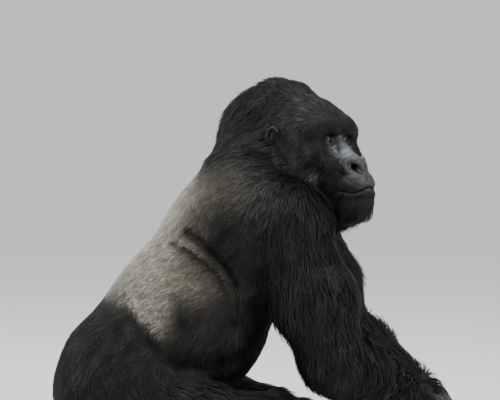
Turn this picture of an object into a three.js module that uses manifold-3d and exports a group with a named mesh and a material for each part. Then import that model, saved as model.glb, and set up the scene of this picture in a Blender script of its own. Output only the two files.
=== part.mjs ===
// A silverback mountain gorilla at life size, sitting and looking over its right shoulder.
// Units are millimetres. +Z is up, the animal faces -Y, and its left side is at +X.
// The origin is on the floor, under the middle of the seat.
// Every solid reaches out to the tips of the coat.
import * as THREE from "three";
import { mergeVertices } from "three/addons/utils/BufferGeometryUtils.js";
import Module from "manifold-3d";

const wasm = await Module();
wasm.setup();

// ---- Driving dimensions ----------------------------------------------------------------------
const SEAM = 0.3; // gap left by each cut between two parts
const WELD = 0.02; // vertices nearer than this become one
const SEAT_BACK = 45; // the seat's middle lies this far behind the point that forward counts from
const TRUNK_LEAN = 50; // the spine's angle above the floor, in degrees
const HEAD_TURN = 63; // how far the head looks to its right, in degrees
const EYE_RADIUS = 13;
const EYE_SPACING = 68;
const EAR_HEIGHT = 80;
const FLOOR = 2400; // side of the block that cuts the flats the animal rests on
const SIDES = { right: -1, left: 1 };

// A place in the animal's own terms: forward, to its left, and up.
const at = (forward, left, up) => new THREE.Vector3(left, -forward - SEAT_BACK, up);
const rad = THREE.MathUtils.degToRad;

// ---- The pose: joints of each side -----------------------------------------------------------
const arms = {
  right: { shoulder: at(398, -208, 622), elbow: at(507, -272, 245), wrist: at(800, -150, 112) },
  left: { shoulder: at(540, 205, 628), elbow: at(700, 248, 250), wrist: at(905, 60, 112) },
};
const legs = {
  right: { hip: at(-25, -118, 118), knee: at(265, -322, 80), ankle: at(455, -135, 76) },
  left: { hip: at(-25, 118, 118), knee: at(265, 322, 80), ankle: at(455, 135, 76) },
};
const handHeading = { right: 10, left: -22 }; // degrees to the left of straight ahead
const footHeading = { right: -8, left: 8 };

// ---- Fields: a field is below zero inside the flesh and grows with distance ------------------
const clamp = THREE.MathUtils.clamp;

// A limb-like mass between two balls.
function roundCone(a, b, radiusA, radiusB) {
  const span = b.clone().sub(a);
  const lengthSq = span.lengthSq();
  const near = new THREE.Vector3();
  return (p) => {
    const t = clamp(near.copy(p).sub(a).dot(span) / lengthSq, 0, 1);
    near.copy(span).multiplyScalar(t).add(a);
    return near.distanceTo(p) - (radiusA + (radiusB - radiusA) * t);
  };
}

// An egg-like mass; its radii run along the X, Y and Z of its own turn.
function ellipsoid(centre, radii, turn = new THREE.Quaternion()) {
  const back = turn.clone().invert();
  const scaled = new THREE.Vector3();
  return (p) => {
    scaled.copy(p).sub(centre).applyQuaternion(back).divide(radii);
    const outer = scaled.length();
    const slope = scaled.divide(radii).length();
    return slope > 0 ? (outer * (outer - 1)) / slope : -Math.min(radii.x, radii.y, radii.z);
  };
}

// Joins fields with a fillet about as wide as the softness.
function blend(softness, ...fields) {
  return (p) => {
    let d = fields[0](p);
    for (let i = 1; i < fields.length; i++) {
      const other = fields[i](p);
      const h = Math.max(softness - Math.abs(d - other), 0) / softness;
      d = Math.min(d, other) - (h * h * softness) / 4;
    }
    return d;
  };
}

// Moves a field's surface out.
const grown = (field, margin) => (p) => field(p) - margin;

// Presses hollows into a field with a soft rim.
function carve(softness, field, ...hollows) {
  return (p) => {
    let d = field(p);
    for (const hollow of hollows) {
      const other = -hollow(p);
      const h = Math.max(softness - Math.abs(d - other), 0) / softness;
      d = Math.max(d, other) + (h * h * softness) / 4;
    }
    return d;
  };
}

// Where a straight line from inside a field leaves it.
function leave(field, origin, direction, reach = 420) {
  const probe = new THREE.Vector3();
  const fieldAt = (r) => field(probe.copy(direction).multiplyScalar(r).add(origin));
  let r = 0;
  while (r < reach && fieldAt(r) < 0) r += clamp(-0.8 * fieldAt(r), 1, 30);
  let [inside, outside] = [Math.max(r - 30, 0), Math.min(r, reach)];
  for (let i = 0; i < 16 && fieldAt(outside) > 0; i++) {
    const middle = (inside + outside) / 2;
    if (fieldAt(middle) < 0) inside = middle;
    else outside = middle;
  }
  return origin.clone().addScaledVector(direction, outside);
}

// ---- From a field to a closed mesh -----------------------------------------------------------
// Rays go out from a path, ring by ring, and each vertex is where its ray leaves the field.
// The rings fan out over each end of the path, so that the mesh is closed.
function skin(field, path, { rings, sides, startRings = 5, endRings = 5, up, reach = 420 }) {
  const curve = new THREE.CatmullRomCurve3(path);
  const reference = up ?? new THREE.Vector3(0, 0, 1);
  const rows = [];
  const row = (t, tilt) => rows.push({ origin: curve.getPointAt(t), tangent: curve.getTangentAt(t), tilt });
  for (let i = 1; i <= startRings; i++) row(0, (Math.PI / 2) * (i / (startRings + 1) - 1));
  for (let i = 0; i < rings; i++) row(i / (rings - 1), 0);
  for (let i = 1; i <= endRings; i++) row(1, ((Math.PI / 2) * i) / (endRings + 1));

  const edge = (origin, direction) => leave(field, origin, direction, reach);
  const first = rows[0];
  const last = rows[rows.length - 1];
  const points = [edge(first.origin, first.tangent.clone().negate())];
  for (const { origin, tangent, tilt } of rows) {
    const side = reference.clone().cross(tangent).normalize();
    const top = tangent.clone().cross(side);
    for (let j = 0; j < sides; j++) {
      const turn = (2 * Math.PI * j) / sides;
      const direction = side.clone().multiplyScalar(Math.cos(turn) * Math.cos(tilt));
      direction.addScaledVector(top, Math.sin(turn) * Math.cos(tilt));
      direction.addScaledVector(tangent, Math.sin(tilt));
      points.push(edge(origin, direction));
    }
  }
  points.push(edge(last.origin, last.tangent));

  const index = [];
  const id = (i, j) => 1 + i * sides + (j % sides);
  const end = points.length - 1;
  for (let j = 0; j < sides; j++) {
    index.push(0, id(0, j + 1), id(0, j));
    index.push(end, id(rows.length - 1, j), id(rows.length - 1, j + 1));
    for (let i = 0; i < rows.length - 1; i++) {
      index.push(id(i, j), id(i, j + 1), id(i + 1, j + 1));
      index.push(id(i, j), id(i + 1, j + 1), id(i + 1, j));
    }
  }
  return new THREE.BufferGeometry().setFromPoints(points).setIndex(index);
}

// ---- Solids ----------------------------------------------------------------------------------
function solidOf(geometry) {
  const bare = geometry.clone();
  bare.deleteAttribute("normal");
  bare.deleteAttribute("uv");
  const merged = mergeVertices(bare, 1e-3);
  const mesh = new wasm.Mesh({
    numProp: 3,
    vertProperties: new Float32Array(merged.attributes.position.array),
    triVerts: new Uint32Array(merged.index.array),
  });
  return new wasm.Manifold(mesh);
}

// A cut can leave vertices too close to tell apart, so these are welded and their slivers dropped.
function geometryOf(solid) {
  const mesh = solid.getMesh();
  const positions = new THREE.BufferAttribute(mesh.vertProperties, 3);
  const raw = new THREE.BufferGeometry()
    .setAttribute("position", positions)
    .setIndex(new THREE.BufferAttribute(mesh.triVerts, 1));
  const welded = mergeVertices(raw, WELD);
  const corners = Array.from(welded.index.array);
  const kept = [];
  for (let i = 0; i < corners.length; i += 3) {
    const [a, b, c] = corners.slice(i, i + 3);
    if (a !== b && b !== c && c !== a) kept.push(a, b, c);
  }
  return welded.setIndex(kept);
}

const joined = (...solids) => solids.reduce((all, next) => all.add(next));

// A block whose near face stands at a place and which runs on along a direction.
function block(place, direction, [width, height, depth], grow = 0) {
  const box = new THREE.BoxGeometry(width + 2 * grow, height + 2 * grow, depth + 2 * grow);
  const turn = new THREE.Quaternion().setFromUnitVectors(
    new THREE.Vector3(0, 0, 1),
    direction.clone().normalize(),
  );
  box.translate(0, 0, depth / 2).applyQuaternion(turn).translate(place.x, place.y, place.z);
  return solidOf(box);
}

// A tapered drum about the line from one place to another.
function drum(from, to, radiusFrom, radiusTo, grow = 0) {
  const span = to.clone().sub(from);
  const length = span.length() + 2 * grow;
  const cone = new THREE.CylinderGeometry(radiusTo + grow, radiusFrom + grow, length, 20);
  const turn = new THREE.Quaternion().setFromUnitVectors(new THREE.Vector3(0, 1, 0), span.normalize());
  const middle = from.clone().add(to).multiplyScalar(0.5);
  cone.applyQuaternion(turn).translate(middle.x, middle.y, middle.z);
  return solidOf(cone);
}

const ball = (centre, radius) =>
  solidOf(new THREE.SphereGeometry(radius, 10, 7).translate(centre.x, centre.y, centre.z));

const between = (a, b, share) => a.clone().lerp(b, share);

// ---- Trunk and neck --------------------------------------------------------------------------
// Turns an ellipsoid so that its Z runs up the leaning spine and its Y out of the back.
function spineTurn(lean, twist = 0) {
  const tilt = new THREE.Quaternion().setFromAxisAngle(new THREE.Vector3(1, 0, 0), rad(90 - lean));
  const yaw = new THREE.Quaternion().setFromAxisAngle(new THREE.Vector3(0, 0, 1), rad(-twist));
  return yaw.multiply(tilt);
}

const spineMass = (centre, left, deep, long, lean = TRUNK_LEAN, twist = 0) =>
  ellipsoid(centre, new THREE.Vector3(left, deep, long), spineTurn(lean, twist));

const rump = spineMass(at(-46, 0, 178), 214, 182, 190, 32);
const core = roundCone(at(-30, 0, 215), at(300, 0, 585), 184, 200);
const belly = spineMass(at(152, 0, 345), 242, 228, 250);
const chest = spineMass(at(300, 0, 585), 238, 214, 205, TRUNK_LEAN, 12);
const shoulderGirdle = spineMass(at(366, 0, 680), 262, 138, 122, 40, 22);
const nape = spineMass(at(334, 24, 724), 138, 132, 138, 58, 16);
const throat = roundCone(at(430, -10, 640), at(480, -25, 770), 118, 112);
const neckMass = roundCone(at(350, 40, 785), at(402, 70, 896), 122, 92);
const napeHump = spineMass(at(399, 60, 901), 92, 145, 140, 75, 36);

function shoulderMass(side) {
  const { shoulder } = arms[side];
  const scapula = at(side === "right" ? 262 : 372, 128 * SIDES[side], 655);
  const neckSide = side === "right" ? at(318, -80, 752) : at(380, 96, 770);
  const raised = shoulder.clone().add(new THREE.Vector3(0, 8, 22));
  const capOfShoulder = ellipsoid(raised, new THREE.Vector3(112, 116, 126));
  return blend(50, capOfShoulder, roundCone(scapula, shoulder, 132, 92), roundCone(raised, neckSide, 110, 78));
}

const seat = (side) => roundCone(at(-110, 88 * SIDES[side], 118), legs[side].hip, 122, 128);

const trunkField = blend(
  80,
  rump,
  core,
  belly,
  chest,
  shoulderGirdle,
  nape,
  throat,
  neckMass,
  napeHump,
  shoulderMass("right"),
  shoulderMass("left"),
  seat("right"),
  seat("left"),
);

const backward = new THREE.Vector3(0, 1, 0);
const trunkSolid = () =>
  solidOf(
    skin(
      trunkField,
      [at(-45, 0, 185), at(70, 0, 270), at(195, 0, 400), at(310, 0, 580), at(385, 5, 740), at(425, 10, 880)],
      { rings: 13, sides: 21, startRings: 4, endRings: 2, up: backward },
    ),
  );

// ---- Head ------------------------------------------------------------------------------------
// The head's own frame starts midway between the ears, at the level of the eyes.
const headOrigin = at(495, -38, 879);
const headTurn = new THREE.Quaternion().setFromAxisAngle(new THREE.Vector3(0, 0, 1), rad(-HEAD_TURN));
const headDirection = (forward, left, up) => new THREE.Vector3(left, -forward, up).applyQuaternion(headTurn);
const inHead = (forward, left, up) => headDirection(forward, left, up).add(headOrigin);
const headMass = (forward, left, up, radiusLeft, radiusForward, radiusUp) =>
  ellipsoid(inHead(forward, left, up), new THREE.Vector3(radiusLeft, radiusForward, radiusUp), headTurn);
const headCone = (a, b, radiusA, radiusB) => roundCone(inHead(...a), inHead(...b), radiusA, radiusB);
const bothSides = (make) => [make(-1), make(1)];

const skull = blend(
  46,
  headMass(26, 0, 26, 102, 116, 86),
  headMass(-98, 0, 87, 70, 99, 99),
  headCone([-40, 0, 102], [104, 0, 29], 62, 40),
  ...bothSides((s) => headCone([64, 14 * s, 58], [114, 40 * s, 39], 43, 38)),
  ...bothSides((s) => headMass(-10, 49 * s, -20, 57, 88, 92)),
);
const browRidge = blend(20, ...bothSides((s) => headCone([144, 14 * s, 34], [126, 72 * s, 24], 28, 26)));
const orbitSides = blend(16, ...bothSides((s) => headCone([108, 68 * s, 26], [114, 64 * s, -40], 33, 32)));
const cheeks = blend(40, ...bothSides((s) => headMass(62, 66 * s, -80, 58, 78, 92)));
const muzzle = blend(
  30,
  headMass(158, 0, -112, 74, 84, 62),
  headMass(208, 0, -124, 58, 56, 48),
  headMass(214, 0, -150, 52, 56, 34),
);
const noseBridge = headCone([138, 0, -2], [200, 0, -62], 20, 26);
const nostrilWings = blend(10, ...bothSides((s) => headMass(215, 23 * s, -78, 28, 27, 27)));
const jaw = blend(36, headCone([172, 0, -178], [84, 0, -156], 56, 86), headMass(206, 0, -196, 54, 58, 46));
const eyePlace = (s) => inHead(122, (EYE_SPACING / 2) * s, 0);
const eyeHollows = bothSides((s) => headMass(152, (EYE_SPACING / 2 + 1) * s, 2, 25, 27, 15));
const headField = carve(
  12,
  blend(18, blend(36, skull, cheeks, muzzle, jaw), browRidge, orbitSides, noseBridge, nostrilWings),
  ...eyeHollows,
);

function headSolid(margin = 0) {
  const path = [inHead(-80, 0, 20), inHead(-10, 0, -8), inHead(48, 0, -50)];
  const rows = { rings: 5, sides: 25, startRings: 2, endRings: 13, reach: 330 };
  return solidOf(skin(grown(headField, margin), path, rows));
}

// An ear is a thick rounded leaf with a hollow facing out and forward.
function earSolid(side, margin = 0) {
  const s = SIDES[side];
  const middle = leave(headField, inHead(-20, 40 * s, 1), headDirection(0, s, 0));
  middle.add(headDirection(0, 6 * s, 0));
  const turn = headTurn.clone();
  turn.multiply(new THREE.Quaternion().setFromAxisAngle(new THREE.Vector3(0, 0, 1), rad(26 * s)));
  turn.multiply(new THREE.Quaternion().setFromAxisAngle(new THREE.Vector3(1, 0, 0), rad(12)));
  const leaf = grown(ellipsoid(middle, new THREE.Vector3(11, 26, EAR_HEIGHT / 2), turn), margin);
  const out = new THREE.Vector3(11 * s, -3, 1).applyQuaternion(turn);
  const hollow = ellipsoid(middle.clone().add(out), new THREE.Vector3(8, 15, 25), turn);
  const length = new THREE.Vector3(0, 0, EAR_HEIGHT / 4).applyQuaternion(turn);
  const whole = margin > 0 ? leaf : carve(3, leaf, hollow);
  return solidOf(
    skin(whole, [middle.clone().sub(length), middle, middle.clone().add(length)], {
      rings: 5,
      sides: 12,
      startRings: 1,
      endRings: 1,
      up: headDirection(1, 0, 0),
    }),
  );
}

// ---- Arms and hands --------------------------------------------------------------------------
const alongForward = new THREE.Vector3(0, -1, 0.4);

function armField(side) {
  const { shoulder, elbow, wrist } = arms[side];
  const belowElbow = between(elbow, wrist, 0.3);
  return blend(
    40,
    roundCone(shoulder, between(shoulder, elbow, 0.5), 108, 118),
    roundCone(between(shoulder, elbow, 0.5), elbow, 118, 98),
    roundCone(elbow, belowElbow, 96, 98),
    roundCone(belowElbow, wrist, 96, 48),
  );
}

function armSolid(side, margin = 0) {
  const { shoulder, elbow, wrist } = arms[side];
  const path = [shoulder, between(shoulder, elbow, 0.5), elbow, between(elbow, wrist, 0.5), wrist];
  const rows = { rings: 10, sides: 12, startRings: 2, endRings: 2, reach: 165, up: alongForward };
  return solidOf(skin(grown(armField(side), margin), path, rows));
}

// A place beside a wrist or ankle: ahead of it, towards the body's midline, and up from the floor.
function beside(joint, heading, side) {
  const ahead = new THREE.Vector3(0, -1, 0).applyAxisAngle(new THREE.Vector3(0, 0, 1), rad(heading));
  const inward = new THREE.Vector3(-SIDES[side], 0, 0).applyAxisAngle(new THREE.Vector3(0, 0, 1), rad(heading));
  return (forward, toMiddle, up) =>
    new THREE.Vector3(joint.x, joint.y, up)
      .addScaledVector(ahead, forward)
      .addScaledVector(inward, toMiddle);
}

const digit = (path, radiusRoot, radiusTip, rings = 4) => {
  const bones = path.slice(1).map((p, i) => {
    const share = (k) => radiusRoot + ((radiusTip - radiusRoot) * k) / (path.length - 1);
    return roundCone(path[i], p, share(i), share(i + 1));
  });
  return solidOf(skin(blend(6, ...bones), path, { rings, sides: 6, startRings: 1, endRings: 1, reach: 30 }));
};

// The hand leans on its knuckles, with the four fingers folded under.
function handSolid(side) {
  const { wrist } = arms[side];
  const place = beside(wrist, handHeading[side], side);
  const palm = blend(
    16,
    roundCone(place(-12, 0, wrist.z), place(40, 0, 92), 40, 36),
    roundCone(place(62, -34, 72), place(66, 34, 74), 25, 25),
  );
  const palmSkin = skin(palm, [place(-12, 0, wrist.z - 2), place(30, 0, 90), place(64, 0, 74)], {
    rings: 4,
    sides: 10,
    startRings: 1,
    endRings: 2,
    reach: 80,
  });
  const fingers = [-47, -16, 15, 46].map((toMiddle, i) => {
    const length = [0.88, 1, 1, 0.9][i];
    const path = [
      place(58, toMiddle * 0.95, 74),
      place(58 + 38 * length, toMiddle, 48),
      place(58 + 30 * length, toMiddle, 11),
      place(22, toMiddle, 12),
    ];
    return digit(path, 14, 13);
  });
  const thumb = digit([place(2, 32, 92), place(34, 54, 66), place(56, 56, 42)], 17, 12, 3);
  return joined(solidOf(palmSkin), ...fingers, thumb);
}

// ---- Legs and feet ---------------------------------------------------------------------------
function legField(side) {
  const { hip, knee, ankle } = legs[side];
  const calf = between(knee, ankle, 0.35);
  return blend(
    45,
    roundCone(hip, between(hip, knee, 0.5), 118, 98),
    roundCone(between(hip, knee, 0.5), knee, 98, 84),
    roundCone(knee, calf, 84, 76),
    roundCone(calf, ankle, 76, 46),
  );
}

function legSolid(side, margin = 0) {
  const { hip, knee, ankle } = legs[side];
  const path = [hip, between(hip, knee, 0.55), knee, between(knee, ankle, 0.5), ankle];
  const rows = { rings: 10, sides: 12, startRings: 2, endRings: 2, reach: 175 };
  return solidOf(skin(grown(legField(side), margin), path, rows));
}

function footSolid(side) {
  const { ankle } = legs[side];
  const place = beside(ankle, footHeading[side], side);
  const sole = blend(
    22,
    roundCone(place(0, 0, ankle.z), place(-26, 0, 34), 42, 38),
    roundCone(place(-10, 0, 46), place(95, 0, 26), 44, 36),
    roundCone(place(108, -34, 22), place(100, 30, 24), 27, 29),
  );
  const soleSkin = skin(sole, [place(-22, 0, 40), place(30, 0, 36), place(102, 0, 24)], {
    rings: 5,
    sides: 10,
    startRings: 2,
    endRings: 1,
    reach: 120,
  });
  const toes = [-46, -19, 8, 35].map((toMiddle, i) => {
    const tip = [182, 196, 200, 192][i];
    return digit([place(112, toMiddle * 0.9, 24), place(150, toMiddle, 25), place(tip, toMiddle, 14)], 12.5, 11, 3);
  });
  const greatToe = digit([place(52, 32, 32), place(92, 64, 28), place(136, 82, 19)], 22, 17, 3);
  return joined(solidOf(soleSkin), ...toes, greatToe);
}

// ---- The parts -------------------------------------------------------------------------------
// The biggest body of a solid, because a cut can leave crumbs.
function biggest(solid) {
  const bodies = solid.decompose();
  return bodies.reduce((best, body) => (body.volume() > best.volume() ? body : best));
}

// Cuts a solid in two: what lies inside the cutter, and what lies outside it.
const split = (solid, cutter) => [
  biggest(solid.intersect(cutter(0))),
  biggest(solid.subtract(cutter(SEAM))),
];

const parts = new Map();
const sideNames = Object.keys(SIDES);
const floorBlock = block(at(0, 0, 0), new THREE.Vector3(0, 0, -1), [FLOOR, FLOOR, FLOOR / 4]);
const headGap = headSolid(SEAM);
let torso = trunkSolid().subtract(headGap);

for (const side of sideNames) {
  const { shoulder, elbow, wrist } = arms[side];
  const armSpan = elbow.clone().sub(shoulder).normalize();
  const forearmSpan = wrist.clone().sub(elbow).normalize();
  const elbowPlane = armSpan.add(forearmSpan);
  const handStart = between(elbow, wrist, 0.93);
  const arm = joined(armSolid(side), handSolid(side)).subtract(floorBlock).subtract(headGap);
  const [hand, armToWrist] = split(arm, (grow) => block(handStart, forearmSpan, [400, 400, 400], grow));
  const [forearm, upperArm] = split(armToWrist, (grow) => block(elbow, elbowPlane, [600, 600, 600], grow));
  parts.set("upper_arm_" + side, upperArm);
  parts.set("forearm_" + side, forearm);
  parts.set("hand_" + side, hand);
  torso = torso.subtract(armSolid(side, SEAM)).subtract(earSolid(side, SEAM));
}

for (const side of sideNames) {
  const { hip, knee, ankle } = legs[side];
  const thighSpan = knee.clone().sub(hip).normalize();
  const shankSpan = ankle.clone().sub(knee).normalize();
  const kneePlane = thighSpan.add(shankSpan);
  const footStart = between(knee, ankle, 0.87);
  const footSpan = new THREE.Vector3(-0.22 * SIDES[side], -0.88, -0.42);
  const leg = joined(legSolid(side), footSolid(side)).subtract(floorBlock);
  const [foot, legToAnkle] = split(leg, (grow) => block(footStart, footSpan, [500, 500, 500], grow));
  const [shank, thigh] = split(legToAnkle, (grow) => block(knee, kneePlane, [600, 600, 600], grow));
  parts.set("thigh_" + side, thigh);
  parts.set("shank_" + side, shank);
  parts.set("foot_" + side, foot);
  torso = torso.subtract(legSolid(side, SEAM));
}

const napeLine = (grow) => drum(at(336, 0, 752), at(470, -10, 990), 190, 240, grow);
const [neck, trunk] = split(torso.subtract(floorBlock), napeLine);
parts.set("trunk", trunk);
parts.set("neck", neck);

// Each eye fills a socket in the head, and the ears stand on the head's sides.
const sockets = bothSides((s) => ball(eyePlace(s), EYE_RADIUS + SEAM));
parts.set("head", sockets.reduce((head, socket) => head.subtract(socket), headSolid()));
for (const side of sideNames) {
  parts.set("eye_" + side, ball(eyePlace(SIDES[side]), EYE_RADIUS));
  parts.set("ear_" + side, biggest(earSolid(side).subtract(headGap)));
}

// ---- Materials and the group -----------------------------------------------------------------
const material = (color, roughness) => new THREE.MeshStandardMaterial({ color, roughness, metalness: 0 });
const blackCoat = material(0x25252a, 0.85);
const silverCoat = material(0x8a8a86, 0.85);
const bareSkin = material(0x3a3c40, 0.55);
const eyeball = material(0x3a2414, 0.15);

function finishOf(name) {
  if (name === "trunk") return silverCoat;
  if (name.startsWith("eye")) return eyeball;
  if (/^(hand|foot|ear)/.test(name)) return bareSkin;
  return blackCoat;
}

const gorilla = new THREE.Group();
for (const [name, solid] of parts) {
  const mesh = new THREE.Mesh(geometryOf(solid), finishOf(name));
  mesh.name = name;
  gorilla.add(mesh);
}

export default gorilla;
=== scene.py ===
"""Looks of the seated silverback gorilla: one skin, a coat of solid tufts, eyes and nails."""

import math

import bpy
import numpy as np
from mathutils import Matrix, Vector


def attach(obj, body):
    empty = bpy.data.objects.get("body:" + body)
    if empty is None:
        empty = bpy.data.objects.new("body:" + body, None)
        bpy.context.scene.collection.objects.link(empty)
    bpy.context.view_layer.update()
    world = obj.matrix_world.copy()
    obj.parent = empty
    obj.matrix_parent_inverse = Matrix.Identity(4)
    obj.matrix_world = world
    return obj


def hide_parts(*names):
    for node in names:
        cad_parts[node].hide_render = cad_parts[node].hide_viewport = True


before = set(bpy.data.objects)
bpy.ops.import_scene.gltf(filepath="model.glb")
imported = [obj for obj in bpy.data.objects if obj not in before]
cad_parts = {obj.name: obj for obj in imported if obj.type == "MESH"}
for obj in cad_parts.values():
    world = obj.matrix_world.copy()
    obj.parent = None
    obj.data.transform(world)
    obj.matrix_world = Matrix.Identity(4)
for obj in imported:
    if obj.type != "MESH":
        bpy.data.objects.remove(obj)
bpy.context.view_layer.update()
DENSITY = 1.0
RNG = np.random.default_rng(7)
FLOOR_GAP = 0.002  # how high above the floor the lowest skin lies, in metres
FORWARD_ZERO = 45.0  # how far in front of the origin forward counts from, in millimetres

# ---- Places. Fields work in metres; the tables below are in millimetres ----------------------


def direction(v):
    v = np.asarray(v, float)
    return v / np.linalg.norm(v)


def at(forward, left, up):
    """A place in the animal's own terms, as the CAD counts it: forward, to its left, and up."""
    return np.array([left, -forward - FORWARD_ZERO, up]) / 1000


def counted(p):
    """The other way round: how far forward, to the left and up places lie, in millimetres."""
    return -p[:, 1] * 1000 - FORWARD_ZERO, p[:, 0] * 1000, p[:, 2] * 1000


def heading(forward, left, up):
    return direction((left, -forward, up))


def turn_z(degrees):
    c, s = math.cos(math.radians(degrees)), math.sin(math.radians(degrees))
    return np.array([[c, -s, 0], [s, c, 0], [0, 0, 1]])


def turn_x(degrees):
    c, s = math.cos(math.radians(degrees)), math.sin(math.radians(degrees))
    return np.array([[1, 0, 0], [0, c, -s], [0, s, c]])


SIDES = {"right": -1, "left": 1}
ARMS = {
    "right": [at(398, -208, 622), at(507, -272, 245), at(800, -150, 112)],
    "left": [at(540, 205, 628), at(700, 248, 250), at(905, 60, 112)],
}
LEGS = {
    "right": [at(-25, -118, 118), at(265, -322, 80), at(455, -135, 76)],
    "left": [at(-25, 118, 118), at(265, 322, 80), at(455, 135, 76)],
}
HAND_HEADING = {"right": 10, "left": -22}
FOOT_HEADING = {"right": -8, "left": 8}
HEAD_ORIGIN = at(495, -38, 879)
HEAD_TURN = turn_z(-63)


def to_head(p):
    """Places in the head's frame, in millimetres: forward, to its left, and up."""
    q = (p - HEAD_ORIGIN) @ HEAD_TURN * 1000
    return np.stack([-q[:, 1], q[:, 0], q[:, 2]], 1)


def from_head(h):
    h = np.atleast_2d(np.asarray(h, float))
    q = np.stack([h[:, 1], -h[:, 0], h[:, 2]], 1) / 1000
    return q @ HEAD_TURN.T + HEAD_ORIGIN


def head_direction(forward, left, up):
    return direction(HEAD_TURN @ np.array([left, -forward, up], float))


# ---- Fields: below zero inside the flesh ----------------------------------------------------


def mm(*values):
    return [v / 1000 for v in values]


def lengths(q):
    return np.sqrt(np.einsum("ij,ij->i", q, q))


def cone(a, b, ra, rb):
    """A bar with round ends, of radius ra at a and rb at b."""
    a, b = np.asarray(a, float), np.asarray(b, float)
    span = b - a
    length_sq = span @ span

    def field(p):
        q = p - a
        t = np.clip(q @ span / length_sq, 0, 1)
        return lengths(q - t[:, None] * span) - (ra + (rb - ra) * t)

    return field


def egg(centre, radii, turn=None):
    centre, radii = np.asarray(centre, float), np.asarray(radii, float)
    turn = np.eye(3) if turn is None else turn

    def field(p):
        q = (p - centre) @ turn / radii
        outer = lengths(q)
        return outer * (outer - 1) / (lengths(q / radii) + 1e-9)

    return field


def pad(centre, radii, power=2.3):
    """A blunt egg, whose sections are fuller than an ellipse's."""
    centre, radii = np.asarray(centre, float), np.asarray(radii, float)

    def field(p):
        q = np.abs(p - centre) / radii
        size = (q**power).sum(1) ** (1 / power) + 1e-9
        slope = (q / size[:, None]) ** (power - 1) / radii
        return (size - 1) / (lengths(slope) + 1e-9)

    return field


def melt(d, other, softness):
    """Both shapes, with a fillet where they meet."""
    h = np.maximum(softness - np.abs(d - other), 0) / softness
    return np.minimum(d, other) - h * h * softness / 4


def press(d, hollow, softness):
    """The first shape with the second one pressed into it, and a soft edge."""
    h = np.maximum(softness - np.abs(d + hollow), 0) / softness
    return np.maximum(d, -hollow) + h * h * softness / 4


def blend(softness, *fields):
    def field(p):
        d = fields[0](p)
        for other in fields[1:]:
            d = melt(d, other(p), softness)
        return d

    return field


def chain(points, radii, softness=0.006):
    """Bars from point to point, with the radius in millimetres at each."""
    bars = zip(points, points[1:], radii, radii[1:])
    return blend(softness, *[cone(a, b, ra / 1000, rb / 1000) for a, b, ra, rb in bars])


def path_distance(p, path):
    best = np.full(len(p), 1e9)
    for a, b in zip(path[:-1], path[1:]):
        best = np.minimum(best, cone(a, b, 0, 0)(p))
    return best


def bell(x, width):
    return np.exp(-((x / width) ** 2))


def ramp(x, low, high):
    t = np.clip((x - low) / (high - low), 0, 1)
    return t * t * (3 - 2 * t)


def spine_mass(centre, left, deep, long, lean=50, twist=0):
    turn = turn_z(-twist) @ turn_x(90 - lean)
    return egg(centre, np.array([left, deep, long]) / 1000, turn)


# ---- The trunk, neck and limbs, under the coat ----------------------------------------------
TRUNK_COAT, ARM_COAT, LEG_COAT = mm(7, 17, 14)  # how deep the coat is over each
NEAR_SKIN = 0.05  # folds are worked out only within this of the skin, in metres
NEAR_HEAD = 0.45  # and the head only within this of its middle


def shoulder_mass(side):
    """The scapula, the shoulder and the slope up to the neck; the right one is pushed forward."""
    s, shoulder = SIDES[side], ARMS[side][0]
    right = side == "right"
    scapula = at(262 if right else 372, 128 * s, 655)
    neck_side = at(318 if right else 380, (80 if right else 96) * s, 752 if right else 770)
    raised = shoulder + np.array([0, 0.008, 0.022])
    return blend(
        0.05,
        egg(raised, mm(112, 116, 126)),
        cone(scapula, shoulder, *mm(132, 92)),
        cone(raised, neck_side, *mm(110, 78)),
    )


TRUNK = blend(
    0.08,
    spine_mass(at(-46, 0, 178), 214, 182, 190, 32),
    cone(at(-30, 0, 215), at(300, 0, 585), *mm(184, 200)),
    spine_mass(at(152, 0, 345), 242, 228, 250),
    spine_mass(at(300, 0, 585), 238, 214, 205, 50, 12),
    spine_mass(at(366, 0, 680), 262, 138, 122, 40, 22),
    spine_mass(at(334, 24, 724), 138, 132, 138, 58, 16),
    cone(at(430, -10, 640), at(480, -25, 770), *mm(118, 112)),
    cone(at(350, 40, 785), at(402, 70, 896), *mm(122, 92)),
    spine_mass(at(392, 64, 899), 90, 137, 137, 75, 36),
    shoulder_mass("right"),
    shoulder_mass("left"),
    cone(at(-110, -88, 118), LEGS["right"][0], *mm(122, 128)),
    cone(at(-110, 88, 118), LEGS["left"][0], *mm(122, 128)),
)


def arm_field(side):
    shoulder, elbow, wrist = ARMS[side]
    middle, below = (shoulder + elbow) / 2, elbow + (wrist - elbow) * 0.3
    return blend(
        0.04,
        cone(shoulder, middle, *mm(108, 118)),
        cone(middle, elbow, *mm(118, 98)),
        cone(elbow, below, *mm(96, 98)),
        cone(below, wrist, *mm(96, 56)),
    )


def leg_field(side):
    hip, knee, ankle = LEGS[side]
    points = [hip, (hip + knee) / 2, knee, knee + (ankle - knee) * 0.35, ankle]
    return chain(points, [118, 98, 84, 76, 52], 0.045)


ARM_FIELDS = {side: arm_field(side) for side in SIDES}
LEG_FIELDS = {side: leg_field(side) for side in SIDES}


def arms_and_legs(p):
    """The nearer arm's field and the nearer leg's, without their coat."""
    arm = np.minimum(ARM_FIELDS["right"](p), ARM_FIELDS["left"](p))
    return arm, np.minimum(LEG_FIELDS["right"](p), LEG_FIELDS["left"](p))


def flank_place(p):
    """Where a place lies on the side of the body, in millimetres: along the flank, and up."""
    forward, _, up = counted(p)
    return np.stack([forward + 270 * np.abs(p[:, 0]), up], 1)


HIGH_FOLD = [(152, 615), (182, 601), (206, 583), (227, 560)]
LOW_FOLD = [(100, 583), (130, 577), (161, 557), (191, 536)]
RIDGE_FOLD = [(133, 585), (167, 575), (198, 547), (225, 531)]
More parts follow.
